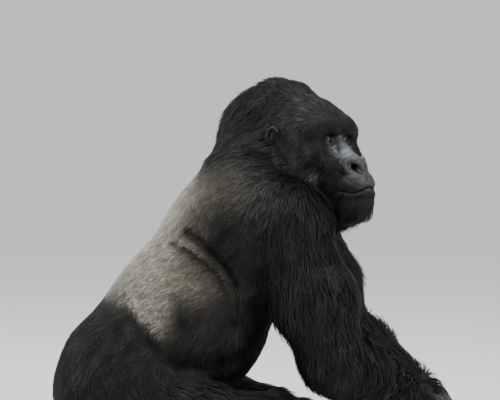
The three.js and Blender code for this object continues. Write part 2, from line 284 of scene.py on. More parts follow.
# Folds of the skin on both flanks, along and up: path, width and depth; a negative depth is a ridge.
FOLDS = [
    ([*HIGH_FOLD, (249, 539), (267, 519), (279, 495), (291, 469)], 15, 11),
    ([*LOW_FOLD, (215, 526), (237, 501), (252, 475), (267, 448)], 8, 7),
    ([*RIDGE_FOLD, (250, 502), (271, 469), (283, 440), (289, 401), (292, 375)], 9, -9),
    ([(115, 665), (94, 621), (91, 598)], 9, -5),
    ([(-12, 418), (30, 368), (62, 326)], 20, -12),
    ([(-25, 385), (24, 330), (91, 262)], 24, 9),
    ([(121, 235), (213, 245), (302, 262)], 26, 12),
    ([(391, 560), (413, 480), (437, 400)], 34, 14),
]


def folds(p):
    """How deep the folds run at a place, in metres; none near the middle of the back."""
    place = flank_place(p)
    total = np.zeros(len(p))
    for path, width, depth in FOLDS:
        total += bell(path_distance(place, np.array(path, float)), width) * depth / 1000
    return total * ramp(np.abs(p[:, 0]), 0.04, 0.13)


def trunk_skin(p):
    """The trunk and neck under their coat, which is deeper over the nape and shoulders."""
    return TRUNK(p) + TRUNK_COAT + 0.006 * ramp(p[:, 2], 0.62, 0.84)


def body_field(p):
    """The skin of the trunk and limbs. Folds and head are worked out only where they can matter."""
    d = trunk_skin(p)
    near = np.abs(d) < NEAR_SKIN
    if near.any():
        d[near] += folds(p[near])
    for side in SIDES:
        d = melt(d, ARM_FIELDS[side](p) + ARM_COAT, 0.035)
        d = melt(d, LEG_FIELDS[side](p) + LEG_COAT, 0.04)
    near = np.linalg.norm(p - HEAD_ORIGIN, axis=1) < NEAR_HEAD
    d[near] = join_head(p[near], d[near])
    return np.maximum(d, FLOOR_GAP - p[:, 2])


def join_head(p, body):
    """The head grows out of the neck, softly behind the ears and more sharply under the jaw."""
    h = to_head(p)
    softness = 0.028 + 0.055 * (1 - ramp(h[:, 0], -110, -35)) * ramp(h[:, 2], -120, 0)
    return melt(body, head_local(h) / 1000, softness)


# ---- The head, in its own frame and in millimetres -------------------------------------------
EYE = np.array([122.0, 34.0, 0.0])
EYE_RADIUS = 13.0

SKULL = blend(
    42,
    egg((22, 0, 24), (104, 88, 82)),
    egg((-94, 0, 84), (88, 60, 87)),
    cone((-40, 0, 102), (92, 0, 36), 56, 40),
    cone((64, 14, 54), (110, 40, 38), 37, 31),
    egg((-10, 49, -24), (78, 44, 84)),
)
MUZZLE = blend(22, pad((150, 0, -86), (70, 58, 54), 2.2), pad((184, 0, -126), (79, 57, 46)))
CHIN = blend(20, pad((182, 0, -176), (82, 53, 36)), egg((196, 0, -196), (58, 44, 30)))
JAW = blend(40, cone((170, 0, -172), (66, 32, -136), 44, 54), egg((58, 58, -80), (62, 42, 82)))
BROW = blend(16, cone((137, 0, 36), (138, 30, 39), 21, 21), cone((138, 30, 39), (112, 72, 24), 21, 23))
TEMPLE = blend(30, cone((98, 66, 30), (106, 62, -42), 25, 26), egg((70, 58, -20), (60, 36, 62)))
UNDER_EYE = cone((130, 22, -23), (121, 56, -27), 15, 20)
CHEEKBONE = cone((124, 64, -38), (158, 44, -66), 21, 18)
BRIDGE = blend(12, cone((124, 0, 8), (160, 0, -27), 17, 14), cone((160, 0, -27), (196, 0, -58), 14, 16))
NOSE_TIP = blend(9, egg((210, 10, -66), (23, 14, 17)), cone((226, 0, -68), (238, 0, -86), 9, 5))
ALA = [
    (222, 11, -60, 8.5),
    (213, 23, -58, 9),
    (203, 35, -66, 9.5),
    (202, 40, -78, 10.5),
    (209, 37, -92, 10),
    (221, 28, -103, 8.5),
    (235, 16, -107, 6.5),
]
NOSTRIL = blend(6, cone((229, 27, -75), (242, 14, -88), 9.2, 8.6), cone((230, 18, -80), (200, 15, -72), 8, 7))
LIP_PADS = blend(8, egg((206, 0, -128), (62, 52, 14)), egg((206, 0, -153), (62, 50, 9)))
SOCKET = egg((151, 35, 5), (24, 24, 11.5))
LIDS = cone(EYE, EYE + (0.1, 0, 0), 15.8, 15.8)
SLIT = egg((17, 0.5, -0.8), (20, 12.5, 5.6))  # between the lids, counted from the eye
SLIT_TILT = 0.22
FACE_START = 88  # features are only worked out further forward than this
WING_TOP = [(206, 22, -42), (196, 37, -50), (190, 48, -65)]
# Creases of the face: path, width and depth.
FACE_LINES = [
    ([*WING_TOP, (192, 50, -82), (202, 46, -99), (215, 37, -112)], 4.2, 7.0),
    ([(215, 37, -112), (231, 29, -120), (243, 25, -129)], 3.4, 2.4),
    ([(202, 0, -42), (222, 0, -54), (236, 0, -68)], 2.4, 3.4),
    ([(245, 0, -92), (264, 0, -116)], 4.5, 2.4),
    ([(150, 20, -26), (160, 22, -35), (170, 28, -45), (183, 36, -56)], 3.0, 3.8),
    ([(148, 24, -29), (150, 36, -32), (142, 50, -33)], 2.2, 1.8),
    ([(158, 28, -37), (157, 40, -41), (146, 55, -44)], 2.3, 2.7),
    ([(168, 34, -46), (164, 46, -51), (150, 60, -55)], 2.3, 2.6),
    ([(178, 42, -58), (172, 54, -66), (166, 60, -80)], 4.0, 2.2),
    ([(196, 51, -88), (216, 54, -102), (238, 46, -124)], 3.0, 1.5),
    ([(190, 57, -98), (212, 59, -112), (230, 55, -126)], 2.8, 1.2),
    ([(184, 60, -110), (200, 62, -122), (212, 61, -132)], 2.6, 1.0),
    ([(170, 60, -90), (186, 62, -120), (196, 62, -146), (200, 58, -166)], 4.5, 2.4),
    ([(137, 18, 8), (143, 34, 12), (135, 50, 6)], 2.2, 2.6),
    ([(138, 20, -14), (141, 36, -16), (131, 52, -9)], 2.0, 2.4),
    ([(156, 8, 22), (150, 10, 2)], 3.0, 1.6),
    ([(158, 0, 30), (158, 12, 26)], 3.0, 1.6),
    ([(218, 20, -190), (252, 12, -182), (256, 0, -180)], 5.0, 1.6),
]
FLATTEN = np.array([0.5, 1.0, 1.0])  # makes the creases care less how far forward a place is
LIP_WRINKLES = [6, 13, 20, 28, 36]


def mouth_height(side_way):
    """How high the line of the mouth runs, by the distance from the middle."""
    return -134 - 17 * ramp(side_way, 2, 40) + 5 * ramp(side_way, 44, 60)


def head_local(h):
    """The bare head: h holds forward, left and up."""
    q = h.copy()
    q[:, 1] = np.abs(q[:, 1])
    d = SKULL(q)
    for part, softness in ((JAW, 36), (CHIN, 26), (MUZZLE, 24), (CHEEKBONE, 24)):
        d = melt(d, part(q), softness)
    d = melt(d, melt(BROW(q), TEMPLE(q), 20), 18)
    face = q[:, 0] > FACE_START
    d[face] = face_features(q[face], d[face])
    return d


def face_creases(q):
    """How deep the creases of the face run at a place on its positive side."""
    total = np.zeros(len(q))
    for path, width, depth in FACE_LINES:
        total += depth * bell(path_distance(q * FLATTEN, np.array(path) * FLATTEN), width)
    return total


def nose_end(q):
    """The tip of the nose, and the wing that curls round its nostril."""
    nose = NOSE_TIP(q)
    for a, b in zip(ALA[:-1], ALA[1:]):
        nose = melt(nose, cone(a[:3], b[:3], a[3], b[3])(q), 5)
    return nose


def face_features(q, d):
    """Adds lips, lids, nose and creases to the field d of the bare head, on its positive side."""
    d = melt(d, LIP_PADS(q), 10)
    d = melt(d, UNDER_EYE(q), 14)
    d = press(d, SOCKET(q), 12)
    d = melt(d, LIDS(q), 6)
    tilted = q - EYE
    tilted[:, 2] -= SLIT_TILT * tilted[:, 1]
    d = press(d, SLIT(tilted), 2.2)
    d = melt(d, BRIDGE(q), 11)
    d = melt(d, nose_end(q), 6)
    d = press(d, NOSTRIL(q), 4)
    forward, side_way, up = q.T
    off = up - mouth_height(side_way)
    lips = ramp(forward, 182, 206) * (1 - ramp(side_way, 50, 63))
    move = lips * (7.5 * bell(off, 2.6) - 1.6 * bell(off + 7, 4.5))
    move += face_creases(q)
    for place in LIP_WRINKLES:
        line = bell(side_way - place - 0.12 * (up + 125), 1.7) * ramp(off, 2, 7) * (1 - ramp(off, 16, 30))
        move += 1.2 * line * lips
    return d + move


def head_field(p):
    return head_local(to_head(p)) / 1000


def head_gap(p):
    """Above zero where the skin belongs to the head, below where it belongs to the trunk."""
    return trunk_skin(p) - head_field(p)


# ---- Ears, hands and feet ---------------------------------------------------------------------
EAR_PLACE = np.array([-22.0, 106.0, 0.0])
EAR_FLARE = math.radians(28)
EAR_RIM = [(12, -1, 6), (10, 4, 25), (-3, 6, 36), (-17, 7, 29), (-24, 6, 6), (-19, 5, -15), (-8, 4, -31)]


def in_ear(q):
    """Places in the ear's own frame, for the side that q counts as positive."""
    cos, sin = math.cos(EAR_FLARE), math.sin(EAR_FLARE)
    forward, out, up = (q - EAR_PLACE).T
    return np.stack([forward * cos - out * sin, forward * sin + out * cos, up], 1)


def ear_local(q):
    """An ear in the head's frame, for the side that q counts as positive: plate, rim, lobe, hollow."""
    e = in_ear(q)
    d = egg((0, -3, 0), (24, 9, 37))(e)
    for a, b in zip(EAR_RIM[:-1], EAR_RIM[1:]):
        d = melt(d, cone(a, b, 4.8, 4.8)(e), 4)
    d = melt(d, cone((10, 1, -4), (7, 3, -15), 5.5, 5.5)(e), 4)
    d = melt(d, egg((-5, 1, -29), (11, 7, 11))(e), 5)
    d = melt(d, cone((-8, 1, 20), (-13, 3, -8), 3.8, 3.8)(e), 3)
    return press(d, egg((1, 9, 1), (10, 10, 17))(e), 4)


def ear_field(p):
    q = to_head(p)
    q[:, 1] = np.abs(q[:, 1])
    return ear_local(q) / 1000


def beside(joint, degrees, side):
    """Places beside a wrist or ankle: ahead of it, towards the midline, and up from the floor."""
    turn = turn_z(degrees)
    ahead, inward = turn @ np.array([0, -1.0, 0]), turn @ np.array([-SIDES[side], 0.0, 0])

    def place(forward, to_middle, up):
        return np.array([joint[0], joint[1], up / 1000]) + (ahead * forward + inward * to_middle) / 1000

    return place


FINGERS = [(-47, 0.88), (-16, 1.0), (15, 1.0), (46, 0.9)]  # how far to the midline, and how big
TOES = [(-46, 182), (-19, 196), (8, 200), (35, 192)]  # how far to the midline, and where the tip is


def bars(place, *rows):
    """Bars beside a joint, each given by its two ends and the radii there in millimetres."""
    return [cone(place(*a), place(*b), ra / 1000, rb / 1000) for a, b, ra, rb in rows]


def digit(place, path, radii):
    return chain([place(*p) for p in path], radii)


def limb_end(middle, digits, softness, thick_digit):
    """A hand or foot of a middle part and digits, flat where it meets the floor."""

    def field(p):
        d = middle(p)
        for finger in digits:
            d = melt(d, finger(p), softness)
        return np.maximum(melt(d, thick_digit(p), 0.012), FLOOR_GAP - 0.001 - p[:, 2])

    return field


def hand_field(side):
    """A hand on its knuckles, with the fingers curled back under the palm."""
    wrist = ARMS[side][2]
    place = beside(wrist, HAND_HEADING[side], side)
    forearm = ARMS[side][1] + (wrist - ARMS[side][1]) * 0.8
    palm = blend(
        0.02,
        cone(forearm, place(-12, 0, 110), *mm(38, 34)),
        *bars(
            place,
            ((-12, 0, 108), (40, 0, 90), 34, 31),
            ((58, -36, 71), (60, 36, 73), 21, 21),
            ((20, -18, 88), (58, -40, 72), 20, 16),
            ((20, 18, 88), (58, 40, 74), 20, 16),
            ((10, -16, 76), (52, -30, 58), 22, 16),
            ((10, 16, 76), (52, 28, 58), 22, 16),
        ),
    )
    fingers = []
    for to_middle, size in FINGERS:
        path = [(52, to_middle * 0.95, 76), (60 + 34 * size, to_middle, 52), (62 + 33 * size, to_middle, 34)]
        path += [(54 + 30 * size, to_middle, 14.5), (48, to_middle, 13), (34, to_middle, 18)]
        path += [(29, to_middle * 0.97, 32)]
        fingers.append(digit(place, path, [15, 15.5, 14, 13, 12.6, 12, 10.5]))
    thumb = digit(place, [(2, 30, 92), (34, 52, 68), (50, 57, 50), (62, 54, 40)], [16, 14, 12.5, 9.5])
    return limb_end(palm, fingers, 0.007, thumb)


def foot_field(side):
    """A foot flat on the floor, with the great toe spread like a thumb."""
    _, knee, ankle = LEGS[side]
    place = beside(ankle, FOOT_HEADING[side], side)
    sole = blend(
        0.025,
        cone(knee + (ankle - knee) * 0.8, ankle, *mm(38, 36)),
        *bars(
            place,
            ((0, 0, 76), (-26, 0, 34), 36, 35),
            ((-10, 0, 44), (95, 0, 27), 38, 29),
            ((112, -34, 21), (104, 28, 24), 22, 24),
        ),
    )
    toes = []
    for to_middle, tip in TOES:
        path = [(106, to_middle * 0.9, 24), (150, to_middle, 27), (170, to_middle, 21), (tip, to_middle, 14)]
        toes.append(digit(place, path, [13, 13, 12.5, 11]))
    great = digit(place, [(48, 30, 32), (92, 64, 29), (116, 75, 25), (136, 82, 19)], [22, 19, 17.5, 15])
    return limb_end(sole, toes, 0.006, great)


# ---- From a field to a mesh -------------------------------------------------------------------
BLOCK = 4  # grid steps each way in a block, which is looked at once before it is worked out in full
CORNERS = [(i, j, k) for i in (0, 1) for j in (0, 1) for k in (0, 1)]


def in_chunks(field, p, size=150000):
    return np.concatenate([field(p[i : i + size]) for i in range(0, len(p), size)])


def slope_of(field, p, step):
    shifts = np.eye(3) * step
    return np.stack([in_chunks(field, p + s) - in_chunks(field, p - s) for s in shifts], 1) / (2 * step)


def sampled(field, low, high, step):
    """The field on a grid of the given step, exact only in the blocks near its surface."""
    blocks = np.ceil((high - low) / (step * BLOCK)).astype(int)
    centres = np.stack(np.meshgrid(*[np.arange(n) for n in blocks], indexing="ij"), -1).reshape(-1, 3)
    values = in_chunks(field, low + (centres * BLOCK + (BLOCK - 1) / 2) * step).reshape(blocks)
    near = np.abs(values) < step * BLOCK * 1.25
    for axis in range(3):
        values, near = values.repeat(BLOCK, axis), near.repeat(BLOCK, axis)
    index = np.nonzero(near)
    values[index] = in_chunks(field, low + np.stack(index, 1) * step)
    return values


def crossed_cells(inside):
    """The grid cells that the surface passes through, and a grid of their numbers."""
    filled = 0
    for corner in CORNERS:
        part = tuple(slice(o, n - 1 + o) for o, n in zip(corner, inside.shape))
        filled = filled + inside[part].astype(np.int8)
    cells = np.stack(np.nonzero((filled > 0) & (filled < 8)), 1)
    ids = np.full(inside.shape, -1, np.int64)
    ids[tuple(cells.T)] = np.arange(len(cells))
    return cells, ids


def cell_centres(values, cells):
    """In each cell, the mean of the places where the surface crosses its edges, in grid steps."""
    total, count = np.zeros((len(cells), 3)), np.zeros(len(cells))
    for a in CORNERS:
        for axis in range(3):
            if a[axis]:
                continue
            b = np.array(a)
            b[axis] = 1
            va, vb = values[tuple((cells + a).T)], values[tuple((cells + b).T)]
            crossed = (va < 0) != (vb < 0)
            share = np.where(crossed, va / np.where(crossed, va - vb, 1), 0)
            place = np.array(a, float) + share[:, None] * np.eye(3)[axis]
            total += place * crossed[:, None]
            count += crossed
    return cells + total / count[:, None]


def cell_quads(inside, ids):
    """A quad through the four cells round each grid edge that the surface crosses."""
    middle = (slice(1, -1),) * 3
    quads = []
    for axis in range(3):
        du, dv = np.eye(3, dtype=int)[[(axis + 1) % 3, (axis + 2) % 3]]
        here, ahead = inside[middle], np.roll(inside, -1, axis)[middle]
        for starts, flip in ((here & ~ahead, False), (~here & ahead, True)):
            c = np.stack(np.nonzero(starts), 1) + 1
            quad = np.stack([ids[tuple(r.T)] for r in (c - du - dv, c - dv, c, c - du)], 1)
            quads.append(quad[:, ::-1] if flip else quad)
    quads = np.concatenate(quads)
    return quads[(quads >= 0).all(1)]


def surface(field, low, high, step):
    """The field's zero surface as vertices and quads, on a grid of the given step."""
    low, high = np.asarray(low, float), np.asarray(high, float)
    values = sampled(field, low, high, step)
    cells, ids = crossed_cells(values < 0)
    vertices = low + cell_centres(values, cells) * step
    for _ in range(3):
        slope = slope_of(field, vertices, step * 0.2)
        length = np.maximum(np.linalg.norm(slope, axis=1), 0.3)
        move = np.clip(in_chunks(field, vertices) / length, -step * 0.6, step * 0.6)
        vertices = vertices - slope / length[:, None] * move[:, None]
    return vertices, cell_quads(values < 0, ids)


def make_mesh(name, vertices, faces):
    """A smooth mesh whose faces all have the same number of corners, as an object."""
    mesh = bpy.data.meshes.new(name)
    mesh.vertices.add(len(vertices))
    mesh.vertices.foreach_set("co", np.asarray(vertices, np.float32).ravel())
    mesh.loops.add(faces.size)
    mesh.loops.foreach_set("vertex_index", faces.astype(np.int32).ravel())
    mesh.polygons.add(len(faces))
    mesh.polygons.foreach_set("loop_start", (np.arange(len(faces)) * faces.shape[1]).astype(np.int32))
    mesh.polygons.foreach_set("use_smooth", np.ones(len(faces), bool))
    mesh.update(calc_edges=True)
    mesh.validate()
    piece = bpy.data.objects.new(name, mesh)
    bpy.context.collection.objects.link(piece)
    return piece


def ring_faces(rows, turns):
    """Quads between rows of vertices that each run once round."""
    i, j = np.divmod(np.arange((rows - 1) * turns), turns)
    a, b = i * turns + j, i * turns + (j + 1) % turns
    return np.stack([a, a + turns, b + turns, b], 1)


def set_colors(piece, colors, name="tone"):
    rgba = np.concatenate([colors, np.ones((len(colors), 1))], 1).astype(np.float32)
    layer = piece.data.color_attributes.new(name, "FLOAT_COLOR", "POINT")
    layer.data.foreach_set("color", rgba.ravel())


# ---- How the hair lies ------------------------------------------------------------------------
# Place, and the way the hair points there; both as forward, left, up. Mirrored for the left side.
LIE_BODY = [
    ((330, 30, 860), (-0.75, -0.1, -0.65)),
    ((300, 90, 800), (-0.8, 0.1, -0.6)),
    ((430, 150, 760), (-0.7, 0.4, -0.6)),
    ((380, 210, 720), (-0.6, 0.4, -0.75)),
    ((270, 170, 690), (-0.85, 0.1, -0.55)),
    ((160, 60, 740), (-0.75, 0, -0.65)),
    ((230, 200, 600), (-0.72, 0, -0.7)),
    ((120, 180, 580), (-0.85, 0, -0.5)),
    ((60, 60, 610), (-0.7, 0, -0.7)),
    ((150, 225, 460), (-0.88, 0, -0.45)),
    ((260, 240, 430), (-0.6, 0, -0.8)),
    ((20, 150, 480), (-0.85, 0, -0.5)),
    ((-80, 60, 430), (-0.75, 0, -0.65)),
    ((60, 215, 350), (-0.8, 0.1, -0.6)),
    ((180, 240, 300), (-0.5, 0, -0.85)),
    ((330, 200, 300), (-0.1, 0, -1)),
    ((-60, 190, 290), (-0.75, 0.1, -0.65)),
    ((-180, 90, 270), (-0.45, 0.1, -0.9)),
    ((-200, 40, 150), (-0.1, 0.1, -1)),
    ((-100, 200, 130), (0.2, 0.3, -0.9)),
    ((450, 260, 690), (-0.05, 0.3, -0.95)),
    ((500, 230, 640), (0.1, 0.2, -0.95)),
    ((380, 300, 560), (0.05, 0.05, -1)),
    ((470, 0, 560), (0.1, 0, -1)),
    ((420, 0, 380), (-0.1, 0, -1)),
    ((520, 80, 690), (0.2, 0.1, -1)),
]


def lie_guides():
    """Places on the body and limbs, and the way that the hair points at each."""
    places, ways = [], []

    def add(place, way):
        places.append(place)
        ways.append(direction(way))

    for (forward, left, up), way in LIE_BODY:
        for s in (-1, 1):
            add(at(forward, left * s, up), heading(way[0], way[1] * s, way[2]))
    for side, s in SIDES.items():
        shoulder, elbow, wrist = ARMS[side]
        down = direction(elbow - shoulder) + heading(-1, 0, 0) * 0.12 + (0, 0, -0.25)
        for t in (0.2, 0.4, 0.6, 0.8, 1.0):
            for around in (heading(1, 0, 0.3), heading(-1, 0, -0.3), heading(0, s, 0)):
                add(shoulder + (elbow - shoulder) * t + around * 0.1, down)
        back_up = direction(elbow - wrist) * 0.8 + (0.25 * s, 0, -0.75)
        for t in (0.25, 0.5, 0.75, 0.95):
            for height in (0.07, -0.07):
                add(elbow + (wrist - elbow) * t + (0, 0, height), back_up)
        hip, knee, ankle = LEGS[side]
        for t in (0.35, 0.65, 0.95):
            thigh = hip + (knee - hip) * t
            add(thigh + (0, 0, 0.08), (knee - hip) + (0, 0, -0.16))
            add(thigh + (0.08 * s, 0.06, 0), (knee - hip) + (0, 0, -0.3))
        for t in (0.3, 0.6, 0.95):
            add(knee + (ankle - knee) * t + (0, 0, 0.06), (ankle - knee) * 0.8 + (0, 0, -0.2))
        place = beside(wrist, HAND_HEADING[side], side)
        add(place(40, 0, 120), place(80, 0, 60) - place(0, 0, 90))
        place = beside(ankle, FOOT_HEADING[side], side)
        add(place(60, 0, 70), place(120, 0, 20) - place(0, 0, 60))
    return np.array(places), np.array(ways)


# In the head's frame: forward, left, up, and the way the hair points.
LIE_HEAD = [
    ((150, 0, 62), (-0.45, 0, 1)),
    ((142, 50, 55), (-0.6, 0.25, 0.8)),
    ((100, 0, 92), (-0.85, 0, 0.5)),
    ((96, 50, 80), (-0.9, 0.25, 0.35)),
    ((60, 85, 50), (-0.95, 0.25, -0.1)),
    ((100, 88, 25), (-0.8, 0.3, -0.35)),
    ((30, 0, 130), (-0.85, 0, 0.5)),
    ((20, 60, 120), (-0.95, 0.2, 0.1)),
    ((-20, 85, 80), (-0.9, 0.2, -0.35)),
    ((-60, 0, 180), (-1, 0, 0)),
    ((-60, 60, 140), (-0.9, 0.2, -0.4)),
    ((-140, 0, 165), (-0.7, 0, -0.7)),
    ((-150, 60, 100), (-0.6, 0.1, -0.8)),
    ((-170, 0, 60), (-0.35, 0, -0.95)),
    ((-80, 80, 40), (-0.6, 0.2, -0.8)),
    ((20, 105, 0), (-0.55, 0.2, -0.8)),
    ((70, 100, -20), (-0.45, 0.3, -0.85)),
    ((100, 85, -40), (-0.4, 0.5, -0.85)),
    ((60, 105, -80), (-0.3, 0.2, -0.95)),
    ((110, 85, -100), (-0.25, 0.3, -0.95)),
    ((10, 100, -80), (-0.4, 0.1, -0.9)),
    ((90, 90, -160), (-0.05, 0.1, -1)),
    ((160, 68, -140), (-0.2, 0.3, -0.95)),
    ((180, 58, -190), (-0.1, 0.1, -1)),
    ((250, 0, -190), (0.15, 0, -1)),
    ((240, 40, -190), (0.1, 0.1, -1)),
    ((200, 0, -235), (-0.5, 0, -0.85)),
    ((120, 40, -210), (-0.3, 0, -0.95)),
    ((250, 20, -110), (-0.2, 0.5, -0.85)),
    ((200, 55, -110), (-0.5, 0.4, -0.75)),
]


def head_guides():
    """The same for the head."""
    places, ways = [], []
    for (forward, left, up), way in LIE_HEAD:
        for s in (-1, 1) if left else (1,):
            places.append(from_head((forward, left * s, up))[0])
            ways.append(head_direction(way[0], way[1] * s, way[2]))
    return np.array(places), np.array(ways)


def noise(p, scale, seed):
    """Smooth noise between -1 and 1, as a sum of seeded waves."""
    rng = np.random.default_rng(seed)
    total = np.zeros(len(p))
    for _ in range(9):
        wave = rng.normal(size=3)
        wave *= rng.uniform(0.6, 1.6) * 2 * math.pi / scale / np.linalg.norm(wave)
        total += np.sin(p @ wave + rng.uniform(0, 2 * math.pi))
    return total / 3


def lie(p, guides):
    """The way that the hair points at each place: a mean of the guides', the nearer the stronger."""
    places, ways = guides
    total = np.zeros_like(p)
    for i in range(0, len(p), 20000):
        gap = ((p[i : i + 20000, None] - places[None]) ** 2).sum(2)
        weight = 1 / (gap + 0.0004) ** 2
        total[i : i + 20000] = weight @ ways
    return total / np.linalg.norm(total, axis=1)[:, None]


# ---- Markings, with painted shade and light: the same for the skin and the coat ----------------
SADDLE = [
    (262, 800), (235, 740), (200, 690), (178, 640), (155, 600), (160, 560), (185, 530), (215, 490),
    (238, 455), (228, 415), (150, 388), (85, 366), (65, 325), (28, 290), (-20, 318), (-55, 357),
    (-110, 405), (-260, 440), (-260, 800),
]
# The brightest hair runs down each side of the back, on this line of places on the flank.
CORE_UP = [328, 387, 440, 498, 557, 630, 703, 760]
CORE_FLANK = [55, 6, -19, 0, 30, 76, 115, 150]
# Between the right shoulder and the jaw that rests above it, the same way; the coat is painted darker along
# it, as painted shade in the crease.
NECK_CREASE = [(343, 872), (397, 823), (446, 776), (489, 753), (537, 724), (561, 683), (590, 640)]
BLACK = np.array([0.0076, 0.0076, 0.0082])
SILVER = np.array([0.185, 0.185, 0.158])
BROWN = np.array([0.130, 0.115, 0.083])
NAPE_TINT = np.array([0.033, 0.029, 0.023])
FLANK_TINT = np.array([0.008, 0.006, 0.004])


def outline_distance(points, outline):
    """Distance to a closed outline in a plane, below zero inside it."""
    corners = np.array(outline, float)
    best = np.full(len(points), 1e9)
    odd = np.zeros(len(points), bool)
    for a, b in zip(corners, np.roll(corners, -1, 0)):
        span = b - a
        t = np.clip((points - a) @ span / (span @ span), 0, 1)
        best = np.minimum(best, np.linalg.norm(points - a - t[:, None] * span, axis=1))
        crosses = (a[1] > points[:, 1]) != (b[1] > points[:, 1])
        rise = np.where(b[1] - a[1] == 0, 1e-9, b[1] - a[1])
        odd ^= crosses & (points[:, 0] < a[0] + (points[:, 1] - a[1]) * span[0] / rise)
    return np.where(odd, -best, best)


def silver_share(flank, up):
    """How silver the saddle is at a place on the flank: full over the back, and fading forward."""
    front = (flank - np.interp(up, CORE_UP, CORE_FLANK)) * 0.84
    width = np.interp(up, [350, 450, 520, 630, 690], [62, 112, 82, 60, 44])
    ahead = bell(np.maximum(front, 0), width)
    behind = bell(np.minimum(front, 0), 42 + 400 * ramp(up, 390, 520))
    height = ramp(up, 275, 395) * (0.70 + 0.30 * ramp(up, 470, 610)) * (1 - 0.6 * ramp(up, 680, 800))
    return ahead * behind * height


def markings_and_shading(p):
    """The coat's colour at a place on the skin, with painted shade in the folds, round the head's seam and
    under the jaw, and painted light on the ridges and along the spine.
    """
    forward, left, up = counted(p)
    wobble = noise(p, 0.11, 3) * 12 + noise(p, 0.035, 4) * 7
    d = outline_distance(np.stack([forward, up], 1), SADDLE) + wobble
    arm = arms_and_legs(p)[0] - TRUNK(p)
    border = -30 - 45 * (1 - ramp(up, 400, 520))
    saddle = (1 - ramp(d, border, 24)) * ramp(arm, -0.01, 0.03)
    silver = silver_share(forward + 0.27 * np.abs(left) + wobble, up + wobble) * saddle
    # The silver is lighter along the spine: a painted highlight.
    silver = silver * (1 + 0.2 * bell(left - 8, 45))
    brown = (0.3 + 0.7 * ramp(-d, 0, 150)) * saddle
    # Painted shade in the folds of the flanks, and painted light on the ridges between them.
    crease = np.clip(folds(p) / 0.010, -1, 1)
    fold_shading = 1 - np.where(crease > 0, 0.66, 0.55) * crease
    mottle = 0.96 + 0.30 * noise(p, 0.011, 8) + 0.16 * noise(p, 0.030, 9)
    tone = (SILVER * silver[:, None] + BROWN * brown[:, None]) * (fold_shading * mottle)[:, None]
    h = to_head(p)
    # Painted shade round the seam where the head grows out of the neck, and along the crease under the right
    # jaw.
    head_seam_shade = bell(head_gap(p) * 1000, 16) * (1 - ramp(h[:, 2], 0, 60))
    jaw_crease_shade = bell(path_distance(flank_place(p), np.array(NECK_CREASE, float)), 15) * ramp(-left, 0, 60)
    shade = 1 - 0.65 * np.maximum(head_seam_shade, jaw_crease_shade)
    return (dark_coat(p, h) * (1 - saddle)[:, None] + tone) * shade[:, None]


def dark_coat(p, h):
    """The coat's colour outside the saddle: brownish on the nape and low on the flank, with painted shade
    behind the ears.
    """
    forward, left, up = counted(p)
    dark = BLACK * (1 + 0.4 * noise(p, 0.05, 5))[:, None]
    nape = bell(np.hypot(forward - 242, up - 752), 76) * (1 - ramp(left, 120, 240))
    dark = dark + nape[:, None] * NAPE_TINT
    flank = bell(np.hypot(forward - 165, (up - 330) * 1.2), 90)
    dark = dark + flank[:, None] * FLANK_TINT
    # Painted shade behind the ears.
    return dark * (1 - 0.4 * bell(np.hypot(h[:, 0] + 92, h[:, 2] + 12), 52))[:, None]


# ---- The coat ----------------------------------------------------------------------------------
LONG_LOCK, SHORT_LOCK = 0.024, 0.009  # how far apart the locks of long and short hair lie
LOCK_SEED = 3 * 7919
RINGS = 2  # rings of three corners in a tuft, before its tip
RIDGE = 0.72  # how high a tuft's ridge stands, as a share of half its width
FLARE = 0.55  # how far the normals of a tuft's edges turn outward
CURL = 0.07  # how far tufts bend sideways, as a share of their length
ROOT_DEPTH = 0.0022  # how far below the skin a tuft begins, in metres
GATHER = 0.62  # how far a tuft's tip goes toward the middle of its lock


def unit(v):
    return v / np.maximum(np.linalg.norm(v, axis=1), 1e-9)[:, None]


def scatter(vertices, normals, quads, per_area):
    """Roots spread over the quads; per_area gives how many for each square metre at a place."""
    corner = vertices[quads]
    area = 0.5 * np.linalg.norm(np.cross(corner[:, 2] - corner[:, 0], corner[:, 3] - corner[:, 1]), axis=1)
    want = area * per_area(corner.mean(1)) * DENSITY
    count = np.floor(want + RNG.random(len(want))).astype(int)
    chosen = np.repeat(np.arange(len(quads)), count)
    a, b = RNG.random((2, len(chosen), 1))
    c, n = corner[chosen], normals[quads[chosen]]
    mix = lambda v: (v[:, 0] * (1 - a) + v[:, 1] * a) * (1 - b) + (v[:, 3] * (1 - a) + v[:, 2] * a) * b
    return mix(c), unit(mix(n))


def nearest_lock(p, size):
    """The nearest of many scattered centres about a size apart, and a number that each has."""
    cell = np.floor(p / size).astype(np.int64)
    gap, centre, key = np.full(len(p), 1e9), np.zeros_like(p), np.zeros(len(p))
    for step in np.ndindex(3, 3, 3):
        at_cell = cell + np.array(step) - 1
        mixed = (at_cell * (73856093, 19349663, 83492791)).sum(1) + LOCK_SEED
        place = []
        for factor in (1103515245, 22695477, 69069):
            mixed = (mixed * factor + 12345) % 2147483647
            place.append((mixed % 65521) / 65521)
        place = np.stack(place, 1)
        there = (at_cell + place) * size
        far = ((p - there) ** 2).sum(1)
        closer = far < gap
        gap[closer], centre[closer], key[closer] = far[closer], there[closer], place[closer, 0]
    return centre, key


